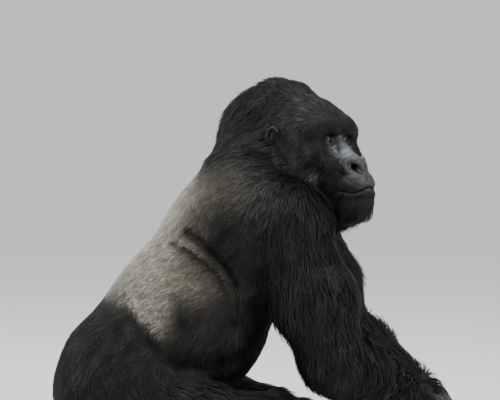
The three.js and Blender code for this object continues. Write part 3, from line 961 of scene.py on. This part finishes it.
def groom(roots, normals, ways, length, width, lift, tone, long=False):
    """Everything that shapes a set of tufts, which gather in locks; long says which are long."""
    n = len(roots)
    toward, key = np.zeros((n, 3)), np.zeros(n)
    long = np.full(n, long)
    for chosen, size in ((long, LONG_LOCK), (~long, SHORT_LOCK)):
        centre, key[chosen] = nearest_lock(roots[chosen], size)
        toward[chosen] = centre - roots[chosen]
    for axis in (normals, ways):
        toward = toward - axis * (toward * axis).sum(1)[:, None]
    shaggy = 0.35 + 0.65 * ramp(length, 0.022, 0.036)
    stray = 1 + shaggy * (RNG.random(n) < 0.06)
    tone = tone * ((1 + shaggy * 0.68 * (key - 0.5)) * RNG.uniform(0.72, 1.28, n) * stray)[:, None]
    return {
        "roots": roots,
        "normals": normals,
        "ways": ways,
        "length": (length * (0.86 + 0.28 * key))[:, None],
        "width": width[:, None],
        "lift": lift[:, None],
        "toward": toward * GATHER,
        "tone": tone,
    }


def clear_lift(roots, ways, length, lift):
    """Lifts the hair whose tip would sink into the skin ahead of it, as it does in a hollow."""
    sunk = -in_chunks(body_field, roots + ways * length[:, None])
    return np.maximum(lift, np.minimum((sunk + 0.002) / (0.5 * length), 0.9))


def tuft_corners(coat):
    """Each tuft's corners, ring by ring, with the colour there and the way each faces."""
    normals, ways, length = coat["normals"], coat["ways"], coat["length"]
    side = unit(np.cross(normals, ways))
    curl = RNG.normal(0, CURL, (len(ways), 1))
    steps = np.linspace(0, 1, RINGS + 1)
    points, tones, facing = [], [], []
    for t, w in zip(steps, np.interp(steps, [0, 0.3, 0.7, 1], [0.8, 1.0, 0.7, 0.0])):
        rise = coat["lift"] * (1.5 * t - 0.95 * t * t) * length - ROOT_DEPTH * (1 - t)
        middle = coat["roots"] + ways * (t - 0.1 * t * t) * length + normals * rise
        middle = middle + side * curl * length * t * t + coat["toward"] * t**1.3
        # Each tuft is darker toward its root, as painted shade deep in the coat, and lighter toward its tip.
        tone = coat["tone"] * (0.5 + 0.85 * (1 - (1 - t) ** 1.4))
        if w == 0:
            ring, ways_out = [middle], [normals]
        else:
            half = coat["width"] * w / 2
            ring = [middle - side * half, middle + side * half, middle + normals * half * RIDGE]
            ways_out = [unit(normals - side * FLARE), unit(normals + side * FLARE), normals]
        points.append(np.stack(ring, 1))
        facing.append(np.stack(ways_out, 1))
        tones.append(np.repeat(tone[:, None], len(ring), 1))
    return [np.concatenate(v, 1) for v in (points, tones, facing)]


def tuft_faces():
    """The triangles of one closed tuft."""
    faces = []
    for k in range(RINGS - 1):
        for j in range(3):
            a, b = 3 * k + j, 3 * k + (j + 1) % 3
            faces += [(a, b, b + 3), (a, b + 3, a + 3)]
    last = 3 * (RINGS - 1)
    faces += [(last + j, last + (j + 1) % 3, last + 3) for j in range(3)]
    return np.array(faces + [(0, 2, 1)])


def add_tuft_uvs(piece, uv):
    """OFBake unwraps every tuft near its place on the skin; strand runs along each tuft."""
    across = np.array([0, 1, 0.5] * RINGS + [0.5])
    up_way = np.concatenate([np.repeat(np.linspace(0, 0.8, RINGS), 3), [1.0]])
    patch = np.stack([across, up_way], 1) * 0.003
    full = (uv[:, None] + patch[None]).reshape(-1, 2)
    n = len(uv)
    strand = np.stack([across[None] + RNG.random((n, 1)) * 40, np.tile(up_way, (n, 1))], 2).reshape(-1, 2)
    corners = np.empty(len(piece.data.loops), np.int32)
    piece.data.loops.foreach_get("vertex_index", corners)
    for layer_name, values in (("OFBake", full), ("strand", strand)):
        layer = piece.data.uv_layers.new(name=layer_name)
        layer.data.foreach_set("uv", values[corners].astype(np.float32).ravel())


def tufts(name, coat, uv):
    """Closed three-sided tufts: each rises a little from its root, follows its way, and tapers."""
    points, tones, facing = tuft_corners(coat)
    n, per = points.shape[:2]
    points = points.reshape(-1, 3)
    points[:, 2] = np.maximum(points[:, 2], FLOOR_GAP * 0.5 + 0.0006 * (np.arange(len(points)) % 3))
    every = (np.arange(n)[:, None, None] * per + tuft_faces()[None]).reshape(-1, 3)
    piece = make_mesh(name, points, every)
    piece.data.normals_split_custom_set_from_vertices(facing.reshape(-1, 3))
    set_colors(piece, tones.reshape(-1, 3))
    add_tuft_uvs(piece, uv)
    piece.data.materials.append(FUR)
    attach(piece, "root")


# ---- Materials -------------------------------------------------------------------------------


def set_inputs(node, values):
    for name, value in values.items():
        node.inputs[name].default_value = value
    return node


def new_material(name, values):
    """A material, and its Principled shader with the given values."""
    material = bpy.data.materials.new(name)
    material.use_nodes = True
    return material, set_inputs(material.node_tree.nodes["Principled BSDF"], values)


def add_node(material, kind, values=None, **settings):
    """One more shader node, with its settings and the values of its inputs."""
    node = material.node_tree.nodes.new("ShaderNode" + kind)
    for name, value in settings.items():
        setattr(node, name, value)
    return set_inputs(node, values or {})


def wire(material, *wires):
    """Links, each given as a node, its output, another node and its input."""
    for source, output, target, into in wires:
        material.node_tree.links.new(source.outputs[output], target.inputs[into])


def fur_material():
    """Hair: the colour of each tuft, with strands and a fine grain along it."""
    values = {"Roughness": 0.46, "Specular IOR Level": 0.14, "Sheen Weight": 0.03}
    values.update({"Sheen Roughness": 0.4, "Sheen Tint": (0.75, 0.85, 1.0, 1.0)})
    material, shader = new_material("coat_hair", values)
    tone = add_node(material, "Attribute", attribute_name="tone")
    strand = add_node(material, "UVMap", uv_map="strand")
    stretch = add_node(material, "Mapping", {"Scale": (5.0, 0.8, 1)})
    grain = add_node(material, "TexNoise", {"Scale": 1.6, "Detail": 3})
    spread = {"From Min": 0.3, "From Max": 0.7, "To Min": 0.62, "To Max": 1.38}
    span = add_node(material, "MapRange", spread)
    mix = add_node(material, "VectorMath", operation="SCALE")
    bump = add_node(material, "Bump", {"Strength": 0.5, "Distance": 0.001})
    wire(
        material,
        (strand, "UV", stretch, "Vector"),
        (stretch, "Vector", grain, "Vector"),
        (grain, "Fac", span, "Value"),
        (tone, "Color", mix, 0),
        (span, "Result", mix, "Scale"),
        (mix, "Vector", shader, "Base Color"),
        (grain, "Fac", bump, "Height"),
        (bump, "Normal", shader, "Normal"),
    )
    return material


def skin_material():
    """Skin with pores and fine creases, half glossy where it is bare and dull under the coat."""
    material, shader = new_material("bare_skin", {"Specular IOR Level": 0.4})
    tone = add_node(material, "Attribute", attribute_name="tone")
    bare = add_node(material, "Attribute", attribute_name="bare")
    place = add_node(material, "TexCoord")
    pores = add_node(material, "TexVoronoi", {"Scale": 420})
    creases = add_node(material, "TexNoise", {"Scale": 120, "Detail": 5})
    add = add_node(material, "Math", {1: 0.5}, operation="MULTIPLY_ADD")
    bump = add_node(material, "Bump", {"Strength": 0.3, "Distance": 0.0013})
    rough = add_node(material, "MapRange", {"To Min": 0.38, "To Max": 0.6})
    dull = add_node(material, "Mix", {"A": 0.95})
    wire(
        material,
        (place, "Object", pores, "Vector"),
        (place, "Object", creases, "Vector"),
        (pores, "Distance", add, 0),
        (creases, "Fac", add, 2),
        (add, "Value", bump, "Height"),
        (bump, "Normal", shader, "Normal"),
        (creases, "Fac", rough, "Value"),
        (bare, "Fac", dull, "Factor"),
        (rough, "Result", dull, "B"),
        (dull, "Result", shader, "Roughness"),
        (tone, "Color", shader, "Base Color"),
    )
    return material


def eye_material():
    """The painted ball under a clear, wet coat."""
    values = {"Roughness": 0.35, "Specular IOR Level": 0.1, "Coat Weight": 0.7, "Coat Roughness": 0.02}
    material, shader = new_material("eyeball", values)
    tone = add_node(material, "Attribute", attribute_name="tone")
    wire(material, (tone, "Color", shader, "Base Color"))
    return material


def nail_material():
    """Dark horn, lighter in places."""
    material, shader = new_material("nail", {"Roughness": 0.3})
    place = add_node(material, "TexCoord")
    grain = add_node(material, "TexNoise", {"Scale": 300})
    shades = {"A": (0.012, 0.011, 0.011, 1), "B": (0.045, 0.042, 0.04, 1)}
    shade = add_node(material, "Mix", shades, data_type="RGBA")
    wire(
        material,
        (place, "Object", grain, "Vector"),
        (grain, "Fac", shade, "Factor"),
        (shade, "Result", shader, "Base Color"),
    )
    return material


def floor_material():
    """Pale, plain and very slightly uneven."""
    values = {"Base Color": (0.80, 0.795, 0.78, 1), "Roughness": 0.85}
    material, shader = new_material("studio_floor", values)
    grain = add_node(material, "TexNoise", {"Scale": 30})
    bump = add_node(material, "Bump", {"Strength": 0.05})
    wire(material, (grain, "Fac", bump, "Height"), (bump, "Normal", shader, "Normal"))
    return material


FUR, SKIN, EYEBALL, NAIL = fur_material(), skin_material(), eye_material(), nail_material()


# ---- The skin ----------------------------------------------------------------------------------
FACE_EDGE = 108.0  # where the finely meshed face begins, in the head's frame
PATCH_OVERLAP = 0.012
BODY_STEP, HEAD_STEP, FACE_STEP = ((0.0078, 3.2, 1.5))
EAR_STEP, LIMB_END_STEP = 0.0017, 0.0034
LIMB_END_REACH = np.array([0.14, 0.14, 0.13])  # from a wrist or ankle to the edge of its patch


def neck_field(h):
    """The head and the neck that it grows out of, in the head's frame and in millimetres."""
    p = from_head(h)
    return join_head(p, trunk_skin(p)) * 1000


def skin_patches():
    """Every stretch of skin: vertices, quads and normals."""
    patches = {}

    def add(name, field, low, high, size, keep=None, head=False, dip=0.003):
        """Meshes a field; keep gives how far inside its own stretch a place is, in metres."""
        vertices, quads = surface(field, low, high, size)
        normals = unit(slope_of(field, vertices, size * 0.3))
        if head:
            normals = from_head(normals) - HEAD_ORIGIN
            vertices, normals = from_head(vertices), unit(normals)
        if keep is not None:
            inside = keep(vertices)
            vertices = vertices - normals * dip * (1 - ramp(inside, 0.0, 1.6 * PATCH_OVERLAP))[:, None]
            quads = quads[(inside > 0)[quads].all(1)]
            used = np.unique(quads)
            order = np.zeros(len(vertices), int)
            order[used] = np.arange(len(used))
            vertices, normals, quads = vertices[used], normals[used], order[quads]
        patches[name] = (vertices, quads, normals)

    of_body = lambda p: PATCH_OVERLAP - head_gap(p)
    add("body", body_field, (-0.45, -1.0, -0.01), (0.45, 0.24, 1.09), BODY_STEP, of_body, dip=0.005)
    head_side = lambda p: head_gap(p) + PATCH_OVERLAP
    behind = lambda p: (FACE_EDGE - to_head(p)[:, 0]) / 1000 + PATCH_OVERLAP
    ahead = lambda p: (to_head(p)[:, 0] - FACE_EDGE) / 1000 + 0.002
    low, high = (-260, -140, -260), (132, 140, 215)
    add("head", neck_field, low, high, HEAD_STEP, lambda p: np.minimum(head_side(p), behind(p)), True)
    low, high = (98, -104, -260), (290, 104, 110)
    add("face", neck_field, low, high, FACE_STEP, lambda p: np.minimum(head_side(p), ahead(p) * 9), True)
    reach = LIMB_END_REACH
    for side, s in SIDES.items():
        ear = from_head(EAR_PLACE * (1, s, 1))[0]
        add("ear_" + side, ear_field, ear - 0.05, ear + 0.05, EAR_STEP)
        wrist, ankle = ARMS[side][2], LEGS[side][2]
        low, high = wrist - reach - (0, 0.03, 0), wrist + reach
        add("hand_" + side, hand_field(side), low, high, LIMB_END_STEP)
        low, high = ankle - reach - (0, 0.1, 0), ankle + reach
        add("foot_" + side, foot_field(side), low, high, LIMB_END_STEP)
    return patches


PATCHES = skin_patches()


def bare_share(h):
    """How bare the head is at a place in its own frame: 1 on the face, 0 in the hair."""
    forward, side_way, up = h[:, 0], np.abs(h[:, 1]), h[:, 2]
    eyes = 1 - ramp(np.hypot((side_way - 34) / 19, (up - 1) / 14), 0.8, 1.2)
    under = 1 - ramp(np.hypot((side_way - 27) / 26, (up + 34) / 30), 0.7, 1.15)
    nose = 1 - ramp(np.hypot(side_way / 50, (up + 74) / 36), 0.85, 1.1)
    bridge = 1 - ramp(np.hypot(side_way / 22, (up + 18) / 34), 0.8, 1.2)
    lip = 1 - ramp(np.hypot(side_way / 54, (up + 117) / 31), 0.85, 1.12)
    mouth = (1 - ramp(np.abs(up - mouth_height(side_way)), 3.5, 6)) * (1 - ramp(side_way, 54, 62))
    share = np.maximum.reduce([eyes, under, nose, bridge, lip, mouth])
    return share * ramp(forward, 108, 122)


def face_light_and_shade(h):
    """How light the bare face is drawn: painted highlights on the bridge and under the eyes, painted shade
    round the lids under the brow, on the sides of the muzzle, in the creases and in the nostrils, and darker
    low on the muzzle and on the lower lip.
    """
    forward, side_way, up = h[:, 0], np.abs(h[:, 1]), h[:, 2]
    under = bell(np.hypot((side_way - 21) / 1.3, up + 33), 15)
    bridge = bell(side_way, 17) * bell(up + 24, 30)
    lids = bell(forward - 128, 24) * bell(side_way - 38, 27) * bell(up - 6, 15)
    muzzle = ramp(-up, 96, 118)
    sides = ramp(side_way, 20, 42) * (0.35 + 0.65 * ramp(-up, 84, 104))
    lower_lip = 1 - ramp(up - mouth_height(side_way), -4, 2)
    folded = np.stack([forward, side_way, up], 1)
    crease = np.clip(face_creases(folded) / 5, 0, 1)
    nostril = 1 - ramp(NOSTRIL(folded), 0.4, 2.5)
    light = (1 + 4.7 * under + 1.3 * bridge) * (1 - 0.75 * lids) * (1 - 0.3 * muzzle)
    return light * (1 - 0.8 * sides) * (1 - 0.7 * crease) * (1 - 0.4 * lower_lip) * (1 - 0.9 * nostril)


def skin_tones(name, p):
    """The skin's colour at each vertex, with painted light and shade, and how bare it is there."""
    tone = markings_and_shading(p) * 0.55
    bare = np.zeros(len(p)) if name == "body" else np.ones(len(p))
    grey = np.array([0.021, 0.0215, 0.0235]) * (1 + 0.25 * noise(p, 0.02, 11))[:, None]
    if name in ("head", "face"):
        h = to_head(p)
        bare = bare_share(h)
        share = bare[:, None]
        # The bare face is grey, with painted highlights and painted shade on it.
        tone = tone * (1 - share) + grey * share * face_light_and_shade(h)[:, None]
    elif name.startswith("ear"):
        tone = grey * 0.4
    elif name != "body":
        tone = grey
    return tone, np.repeat(bare[:, None], 3, 1)


def build_skin():
    """Joins the patches, whose edges dip beneath one another, into the one skin of the animal."""
    pieces = []
    for name, (vertices, quads, _) in PATCHES.items():
        piece = make_mesh("skin_" + name, vertices, quads)
        tones, bare = skin_tones(name, vertices)
        set_colors(piece, tones)
        set_colors(piece, bare, "bare")
        pieces.append(piece)
    bpy.ops.object.select_all(action="DESELECT")
    for piece in pieces:
        piece.select_set(True)
    skin = pieces[0]
    bpy.context.view_layer.objects.active = skin
    bpy.ops.object.join()
    skin.name = "skin"
    skin.data.materials.append(SKIN)
    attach(skin, "root")
    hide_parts(*[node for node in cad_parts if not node.startswith("eye_")])


# ---- Coat regions ------------------------------------------------------------------------------
BODY_GUIDES = lie_guides()
HEAD_GUIDES = head_guides()
LONG_HAIR = 0.045  # hair of the body from this length on gathers in big locks
# The trunk's coat is cut into pieces from the rump up, each up to this far along the back, in metres.
TRUNK_PIECES = (("shoulders", 0.82), ("chest", 0.70), ("back", 0.56), ("waist", 0.40), ("rump", 0.24))


def local_angle(p, a, b):
    """Where a place lies round and along a line, each between 0 and 1, as an unwrap of the skin."""
    axis = (b - a) / np.linalg.norm(b - a)
    side = np.cross(axis, [0.3, 0.2, 0.93])
    side /= np.linalg.norm(side)
    top = np.cross(axis, side)
    q = p - a
    round_way = np.arctan2(q @ top, q @ side) / (2 * math.pi) + 0.5
    along = q @ axis
    along = (along - along.min()) / max(np.ptp(along), 1e-6)
    return np.stack([round_way, along], 1) * 0.98 + 0.005


def body_density(p):
    """How many tufts a square metre of the body carries; long hair needs fewer."""
    length = hair_size(p)[0]
    d = np.interp(length, [0.025, 0.045, 0.08], [58000.0, 44000.0, 36000.0])
    d[p[:, 2] < 0.03] = 9000.0
    d[head_gap(p) > 0] = 0
    return d


def body_shares(p):
    """How far each place belongs to an arm and to a leg, each from 0 to 1."""
    trunk = trunk_skin(p)
    arm, leg = arms_and_legs(p)
    return ramp(trunk - (arm + ARM_COAT), -0.06, 0.02), ramp(trunk - (leg + LEG_COAT), -0.03, 0.02)


def hair_size(p):
    """Length and width of the body's hair at a place, in metres, and how shaggy it is."""
    arm, leg = body_shares(p)
    forward, _, up = counted(p)
    saddle = 1 - ramp(outline_distance(np.stack([forward, up], 1), SADDLE), -30, 60)
    length = 0.034 + 0.020 * ramp(forward * 0.6 + up * 0.8, 620, 900)
    length = length + saddle * (0.019 - length)
    length = length + arm * (0.080 - length)
    length = length + leg * (0.052 - length)
    width = np.interp(length, [0.018, 0.04, 0.08], [0.0019, 0.0028, 0.0038])
    return length, width, np.maximum(arm, leg * 0.6)


def ruffle(p, ways, normals, small=0.12, big=0.12):
    """Lays the hair along the skin, and turns it a little, together over each stretch."""
    ways = unit(ways - normals * (ways * normals).sum(1)[:, None])
    side = np.cross(ways, normals)
    sway = big * noise(p, 0.07, 21) + small * noise(p, 0.022, 22)
    sway = sway + RNG.normal(0, small * 0.5, len(p))
    return unit(ways + side * sway[:, None])


def coat_owner(p):
    """The name of the coat piece that each place belongs to."""
    trunk = trunk_skin(p)
    owner = np.full(len(p), "nape", dtype=object)
    along = (-p[:, 1] - FORWARD_ZERO / 1000) * 0.66 + p[:, 2] * 0.75
    for part, top in TRUNK_PIECES:
        owner[along < top] = part
    for side in SIDES:
        owner[trunk > ARM_FIELDS[side](p) + ARM_COAT] = "arm_" + side
        owner[trunk > LEG_FIELDS[side](p) + LEG_COAT] = "leg_" + side
    return owner


def body_coat():
    vertices, quads, normals = PATCHES["body"]
    roots, up = scatter(vertices, normals, quads, body_density)
    ways = ruffle(roots, lie(roots, BODY_GUIDES), up)
    length, width, shaggy = hair_size(roots)
    n = len(roots)
    long = length > LONG_HAIR
    length = length * RNG.uniform(0.75, 1.2, n)
    width = width * RNG.uniform(0.8, 1.25, n)
    lift = clear_lift(roots, ways, length, (0.20 + 0.14 * shaggy) * RNG.uniform(0.7, 1.3, n))
    coat = groom(roots, up, ways, length, width, lift, markings_and_shading(roots), long)
    owner = coat_owner(roots)
    for part in sorted(set(owner)):
        mine = owner == part
        kind, _, side = part.partition("_")
        a, b = at(-46, 0, 178), at(400, 20, 800)
        if side:
            a, _, b = (ARMS if kind == "arm" else LEGS)[side]
        chosen = {key: value[mine] for key, value in coat.items()}
        tufts("coat_" + part, chosen, local_angle(roots[mine], a, b))


def head_density(p):
    share = bare_share(to_head(p))
    thick = 83000 + 55000 * ramp(to_head(p)[:, 0], 90, 130)
    return np.where((head_gap(p) < 0) | (share > 0.93), 0, thick * (1 - share * 0.75))


def head_length(h):
    """Length of the head's hair at a place in its own frame, in metres."""
    forward, side_way, up = h[:, 0], np.abs(h[:, 1]), h[:, 2]
    front = ramp(forward, 60, 140)
    length = 0.030 - 0.019 * front * ramp(up, -60, 0)
    length += 0.010 * (1 - ramp(up, -150, -60)) * (1 - ramp(forward, 120, 200))
    length -= 0.020 * ramp(forward, 150, 212)
    length += 0.012 * (1 - ramp(forward, -120, -20))
    near_ear = bell(np.hypot(forward + 10, up - 2), 42) * ramp(side_way, 70, 95)
    return length - 0.013 * near_ear


def head_coat():
    """The coat of the back of the head and of the face, whose hair is much shorter."""
    for name in ("head", "face"):
        vertices, quads, normals = PATCHES[name]
        roots, up = scatter(vertices, normals, quads, head_density)
        h = to_head(roots)
        mine = (h[:, 0] > FACE_EDGE) == (name == "face")
        roots, up, h = roots[mine], up[mine], h[mine]
        ways = ruffle(roots, lie(roots, HEAD_GUIDES), up, 0.12, 0.08)
        n = len(roots)
        length = head_length(h) * (1 - 0.8 * bare_share(h)) * RNG.uniform(0.8, 1.2, n)
        length = np.maximum(length, 0.003)
        width = np.interp(length, [0.003, 0.012, 0.04], [0.0006, 0.0017, 0.0030]) * RNG.uniform(0.8, 1.2, n)
        hang = ramp(-up[:, 2], 0.1, 0.7) * ramp(-h[:, 2], 150, 205)
        length = length + 0.012 * hang
        lift = clear_lift(roots, ways, length, (0.30 + 0.9 * hang) * RNG.uniform(0.7, 1.3, n))
        # The hair's colour, with painted sheen and painted shade on the head.
        tone = markings_and_shading(roots) * head_sheen_and_shade(h)[:, None]
        coat = groom(roots, up, ways, length, width, lift, tone)
        tufts("coat_" + name, coat, local_angle(roots, from_head((0, 0, -220))[0], from_head((0, 0, 190))[0]))


def head_sheen_and_shade(h):
    """Painted sheen and shade on the hair: lighter and greyer in streaks on the crown and on the cheeks and
    chin, as painted sheen, and darker by the eyes, as painted shade under the brow.
    """
    crown = bell(np.hypot((h[:, 0] - 80) / 1.4, h[:, 2] - 92), 46)
    cheek = bell(np.hypot(h[:, 0] - 92, h[:, 2] + 66), 62)
    chin = bell(np.hypot(h[:, 0] - 225, h[:, 2] + 182), 38)
    brow_shade = bell(np.hypot((np.abs(h[:, 1]) - 36) / 1.6, h[:, 2] - 14), 22) * ramp(h[:, 0], 90, 112)
    streak = noise(h * (0.35, 1, 1), 16, 31)
    fine = 1 + 0.34 * noise(h * (0.3, 1, 1), 7, 33)
    light = 1 + np.maximum(1.1 + 1.9 * streak, 0) * crown + 2.7 * cheek + 1.5 * chin
    return light * fine * (1 - 0.55 * brow_shade)


def black_tufts(name, roots, up, ways, length, width, lift, axis):
    """A plain black coat on a small part, unwrapped round an axis from its middle."""
    middle, along = axis
    n = len(roots)
    coat = groom(roots, up, ways, length, np.full(n, width), np.full(n, lift), np.repeat(BLACK[None], n, 0))
    tufts("coat_" + name, coat, local_angle(roots, middle, middle + along))


def ear_coat(side):
    """Short hair on the ear's rim and back, which leaves its hollow bare."""
    vertices, quads, normals = PATCHES["ear_" + side]

    def ear_density(p):
        q = to_head(p)
        q[:, 1] *= SIDES[side]
        hollow = np.linalg.norm((in_ear(q) - (0, 9, 1)) / (11, 11, 19), axis=1)
        return 110000 * ramp(hollow, 0.95, 1.25)

    roots, up = scatter(vertices, normals, quads, ear_density)
    ways = ruffle(roots, lie(roots, HEAD_GUIDES), up)
    n = len(roots)
    length, width = RNG.uniform(0.007, 0.013, n), RNG.uniform(0.0010, 0.0016, n)
    ear = from_head(EAR_PLACE * (1, SIDES[side], 1))[0]
    black_tufts("ear_" + side, roots, up, ways, length, width, 0.35, (ear, (0, 0, 0.04)))


def limb_end_coat(kind, side, reach):
    """Short hair on the back of a hand or foot, as far as reach from its joint."""
    vertices, quads, normals = PATCHES[kind + "_" + side]
    joint = (ARMS if kind == "hand" else LEGS)[side][2]

    def density(p):
        gap = np.linalg.norm((p - joint)[:, :2], axis=1)
        return 60000 * ramp(p[:, 2], 0.045, 0.075) * (1 - ramp(gap, reach * 0.6, reach))

    roots, up = scatter(vertices, normals, quads, density)
    upper = up[:, 2] > -0.2
    roots, up = roots[upper], up[upper]
    ways = ruffle(roots, lie(roots, BODY_GUIDES), up)
    n = len(roots)
    gap = np.linalg.norm((roots - joint)[:, :2], axis=1)
    length = (0.034 - 0.022 * ramp(gap, 0.0, reach * 0.8)) * RNG.uniform(0.7, 1.2, n)
    black_tufts(kind + "_" + side, roots, up, ways, length, 0.0024, 0.2, (joint, (0, -0.1, -0.01)))


# ---- Eyes and nails -----------------------------------------------------------------------------
# From the middle of the pupil outward: each tone reaches as far as this angle from the gaze.
EYE_TONES = [
    (0.20, (0.002, 0.002, 0.002)),
    (0.50, (0.042, 0.028, 0.015)),
    (0.56, (0.010, 0.007, 0.005)),
    (4.0, (0.022, 0.016, 0.013)),
]
IRIS = EYE_TONES[1][1]
EYE_TURNS = 48
GAZE = (1, -0.10, -0.04)  # in the head's frame
CORNEA_RISE, CORNEA_ANGLE = 0.05, 0.42  # as a share of the eye's radius, and in radians


def eye_tone(angle, spoke):
    """The colour at an angle from the gaze; spoke is how light the iris is in that direction."""
    tone = next(tone for reach, tone in EYE_TONES if angle < reach)
    return np.array(tone) * spoke * (0.55 + 1.2 * (angle - 0.2)) if tone == IRIS else np.array(tone)


def build_eye(side):
    """An eyeball with a bulging cornea, which looks a little further round than the head."""
    centre = from_head((EYE[0], EYE[1] * SIDES[side], EYE[2]))[0]
    gaze = head_direction(*GAZE)
    across = direction(np.cross(gaze, [0, 0, 1]))
    top = np.cross(across, gaze)
    angles = np.concatenate([np.linspace(0, 0.75, 26), np.linspace(0.8, math.pi, 18)])
    vertices, tones = [], []
    spokes = np.random.default_rng(5).uniform(0.75, 1.2, EYE_TURNS)
    for angle in angles:
        bulge = 1 + CORNEA_RISE * math.exp(-((angle / CORNEA_ANGLE) ** 2)) if angle < 1 else 1
        for j in range(EYE_TURNS):
            turn = 2 * math.pi * j / EYE_TURNS
            d = gaze * math.cos(angle) + (across * math.cos(turn) + top * math.sin(turn)) * math.sin(angle)
            vertices.append(centre + d * (EYE_RADIUS / 1000) * bulge)
            tones.append(eye_tone(angle, spokes[j]))
    piece = make_mesh("eyeball_" + side, np.array(vertices), ring_faces(len(angles), EYE_TURNS))
    set_colors(piece, np.array(tones))
    piece.data.materials.append(EYEBALL)
    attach(piece, "root")
    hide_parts("eye_" + side)


def build_nail(name, tip, forward, up, width, length):
    """A small curved plate that sits on the end of a digit."""
    side = np.cross(forward, up)
    rows, cols = 6, 7
    vertices, faces = [], []
    for height in (-0.002, 0.0012):
        for i in range(rows):
            v = i / (rows - 1)
            for j in range(cols):
                u = j / (cols - 1) * 2 - 1
                narrow = 1 - 0.25 * abs(2 * v - 1) ** 3
                arch = -0.30 * width * u * u - 0.10 * length * v * v + height
                across = tip + side * u * width / 2 * narrow
                vertices.append(across + forward * (v - 0.6) * length + up * arch)
    grid = rows * cols
    for i in range(rows - 1):
        for j in range(cols - 1):
            a = i * cols + j
            faces.append((a, a + cols, a + cols + 1, a + 1))
            faces.append((a + grid, a + 1 + grid, a + cols + 1 + grid, a + cols + grid))
    rim = list(range(cols)) + [i * cols + cols - 1 for i in range(1, rows)]
    rim += [(rows - 1) * cols + j for j in range(cols - 2, -1, -1)]
    rim += [i * cols for i in range(rows - 2, 0, -1)]
    for a, b in zip(rim, rim[1:] + rim[:1]):
        faces.append((a, b, b + grid, a + grid))
    piece = make_mesh(name, np.array(vertices), np.array(faces))
    piece.data.materials.append(NAIL)
    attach(piece, "root")


def build_toenail(name, tip, along, width, length):
    """A nail on top of a toe, which points down along it."""
    along = direction(along)
    up = np.cross(np.cross(along, [0, 0, 1]), along)
    build_nail(name, tip, along, direction(up), width, length)


def build_nails():
    """Nails for the toes and thumbs; those of the curled fingers are out of sight."""
    for side in SIDES:
        place = beside(LEGS[side][2], FOOT_HEADING[side], side)
        ahead = direction(place(1, 0, 0) - place(0, 0, 0)) * 0.9 + (0, 0, -0.42)
        for i, (to_middle, tip) in enumerate(TOES):
            build_toenail(f"toenail_{side}_{i + 1}", place(tip + 3, to_middle, 22.5), ahead, 0.013, 0.013)
        great = direction(place(140, 84, 30) - place(110, 73, 30)) * 0.9 + (0, 0, -0.35)
        build_toenail(f"toenail_{side}_5", place(141, 85, 32), great, 0.019, 0.017)
        place = beside(ARMS[side][2], HAND_HEADING[side], side)
        along = direction(place(62, 54, 40) - place(50, 57, 50))
        out = place(56, 80, 62) - place(56, 55, 45)
        out = out - along * (out @ along)
        build_nail(f"thumbnail_{side}", place(62, 59, 46), along, direction(out), 0.011, 0.012)


# ---- Camera, floor and light -------------------------------------------------------------------
AZIMUTH, ELEVATION = math.radians(-105), math.radians(2)
CAMERA_DISTANCE, LENS = 6.0, 147.5  # in metres and millimetres
FLOOR_TURNS = 96


def build_camera():
    """Looks at the animal's right side, a little from behind, from about its own height."""
    level = Vector((math.sin(AZIMUTH), -math.cos(AZIMUTH), 0))
    back = Vector((level.x * math.cos(ELEVATION), level.y * math.cos(ELEVATION), math.sin(ELEVATION)))
    right = Vector((math.cos(AZIMUTH), math.sin(AZIMUTH), 0))
    target = Vector((0, -0.045, 0)) + right * 0.322 + Vector((0, 0, 0.703))
    data = bpy.data.cameras.new("camera")
    data.lens = LENS
    data.sensor_width = 36
    data.clip_end = 200
    camera = bpy.data.objects.new("camera", data)
    camera.location = target + back * CAMERA_DISTANCE
    camera.rotation_mode = "QUATERNION"
    camera.rotation_quaternion = (-back).to_track_quat("-Z", "Y")
    bpy.context.collection.objects.link(camera)
    bpy.context.scene.camera = camera


def build_floor():
    """A pale floor that rises into a backdrop all round, so that no horizon shows."""
    flat, bend, height = 11.0, 4.0, 4.4
    profile = [(0.0, 0.0), (4.0, 0.0), (8.0, 0.0), (flat, 0.0)]
    for a in np.linspace(0.1, math.pi / 2, 16):
        profile.append((flat + bend * math.sin(a), bend * (1 - math.cos(a))))
    profile.append((flat + bend, height))
    vertices = []
    for radius, z in profile:
        for t in np.arange(FLOOR_TURNS) * 2 * math.pi / FLOOR_TURNS:
            vertices.append((radius * math.cos(t), radius * math.sin(t), z))
    floor = make_mesh("floor", np.array(vertices), ring_faces(len(profile), FLOOR_TURNS))
    floor.data.materials.append(floor_material())


def build_sky():
    """An even pale light from all round."""
    world = bpy.data.worlds.new("studio")
    world.use_nodes = True
    set_inputs(world.node_tree.nodes["Background"], {"Color": (0.93, 0.97, 1.0, 1), "Strength": 1.0})
    bpy.context.scene.world = world


def lamp(name, place, aim, size, power, color):
    """A round soft lamp."""
    data = bpy.data.lights.new(name, "AREA")
    data.shape = "DISK"
    data.size = size
    data.energy = power
    data.color = color
    light = bpy.data.objects.new(name, data)
    light.location = place
    light.rotation_mode = "QUATERNION"
    light.rotation_quaternion = (Vector(aim) - Vector(place)).to_track_quat("-Z", "Y")
    bpy.context.collection.objects.link(light)


build_camera()
build_floor()
build_sky()
lamp("sky", (-0.8, 0.2, 4.4), (0, -0.3, 0.6), 3.4, 145, (0.96, 0.98, 1.0))
lamp("key", (-3.2, -2.8, 2.8), (0, -0.4, 0.7), 2.2, 112, (1.0, 0.98, 0.95))
lamp("rim", (0.8, 3.2, 2.6), (0, 0, 0.7), 1.6, 88, (1.0, 1.0, 1.0))
build_skin()
body_coat()
head_coat()
for side in SIDES:
    ear_coat(side)
    limb_end_coat("hand", side, 0.09)
    limb_end_coat("foot", side, 0.12)
    build_eye(side)
build_nails()
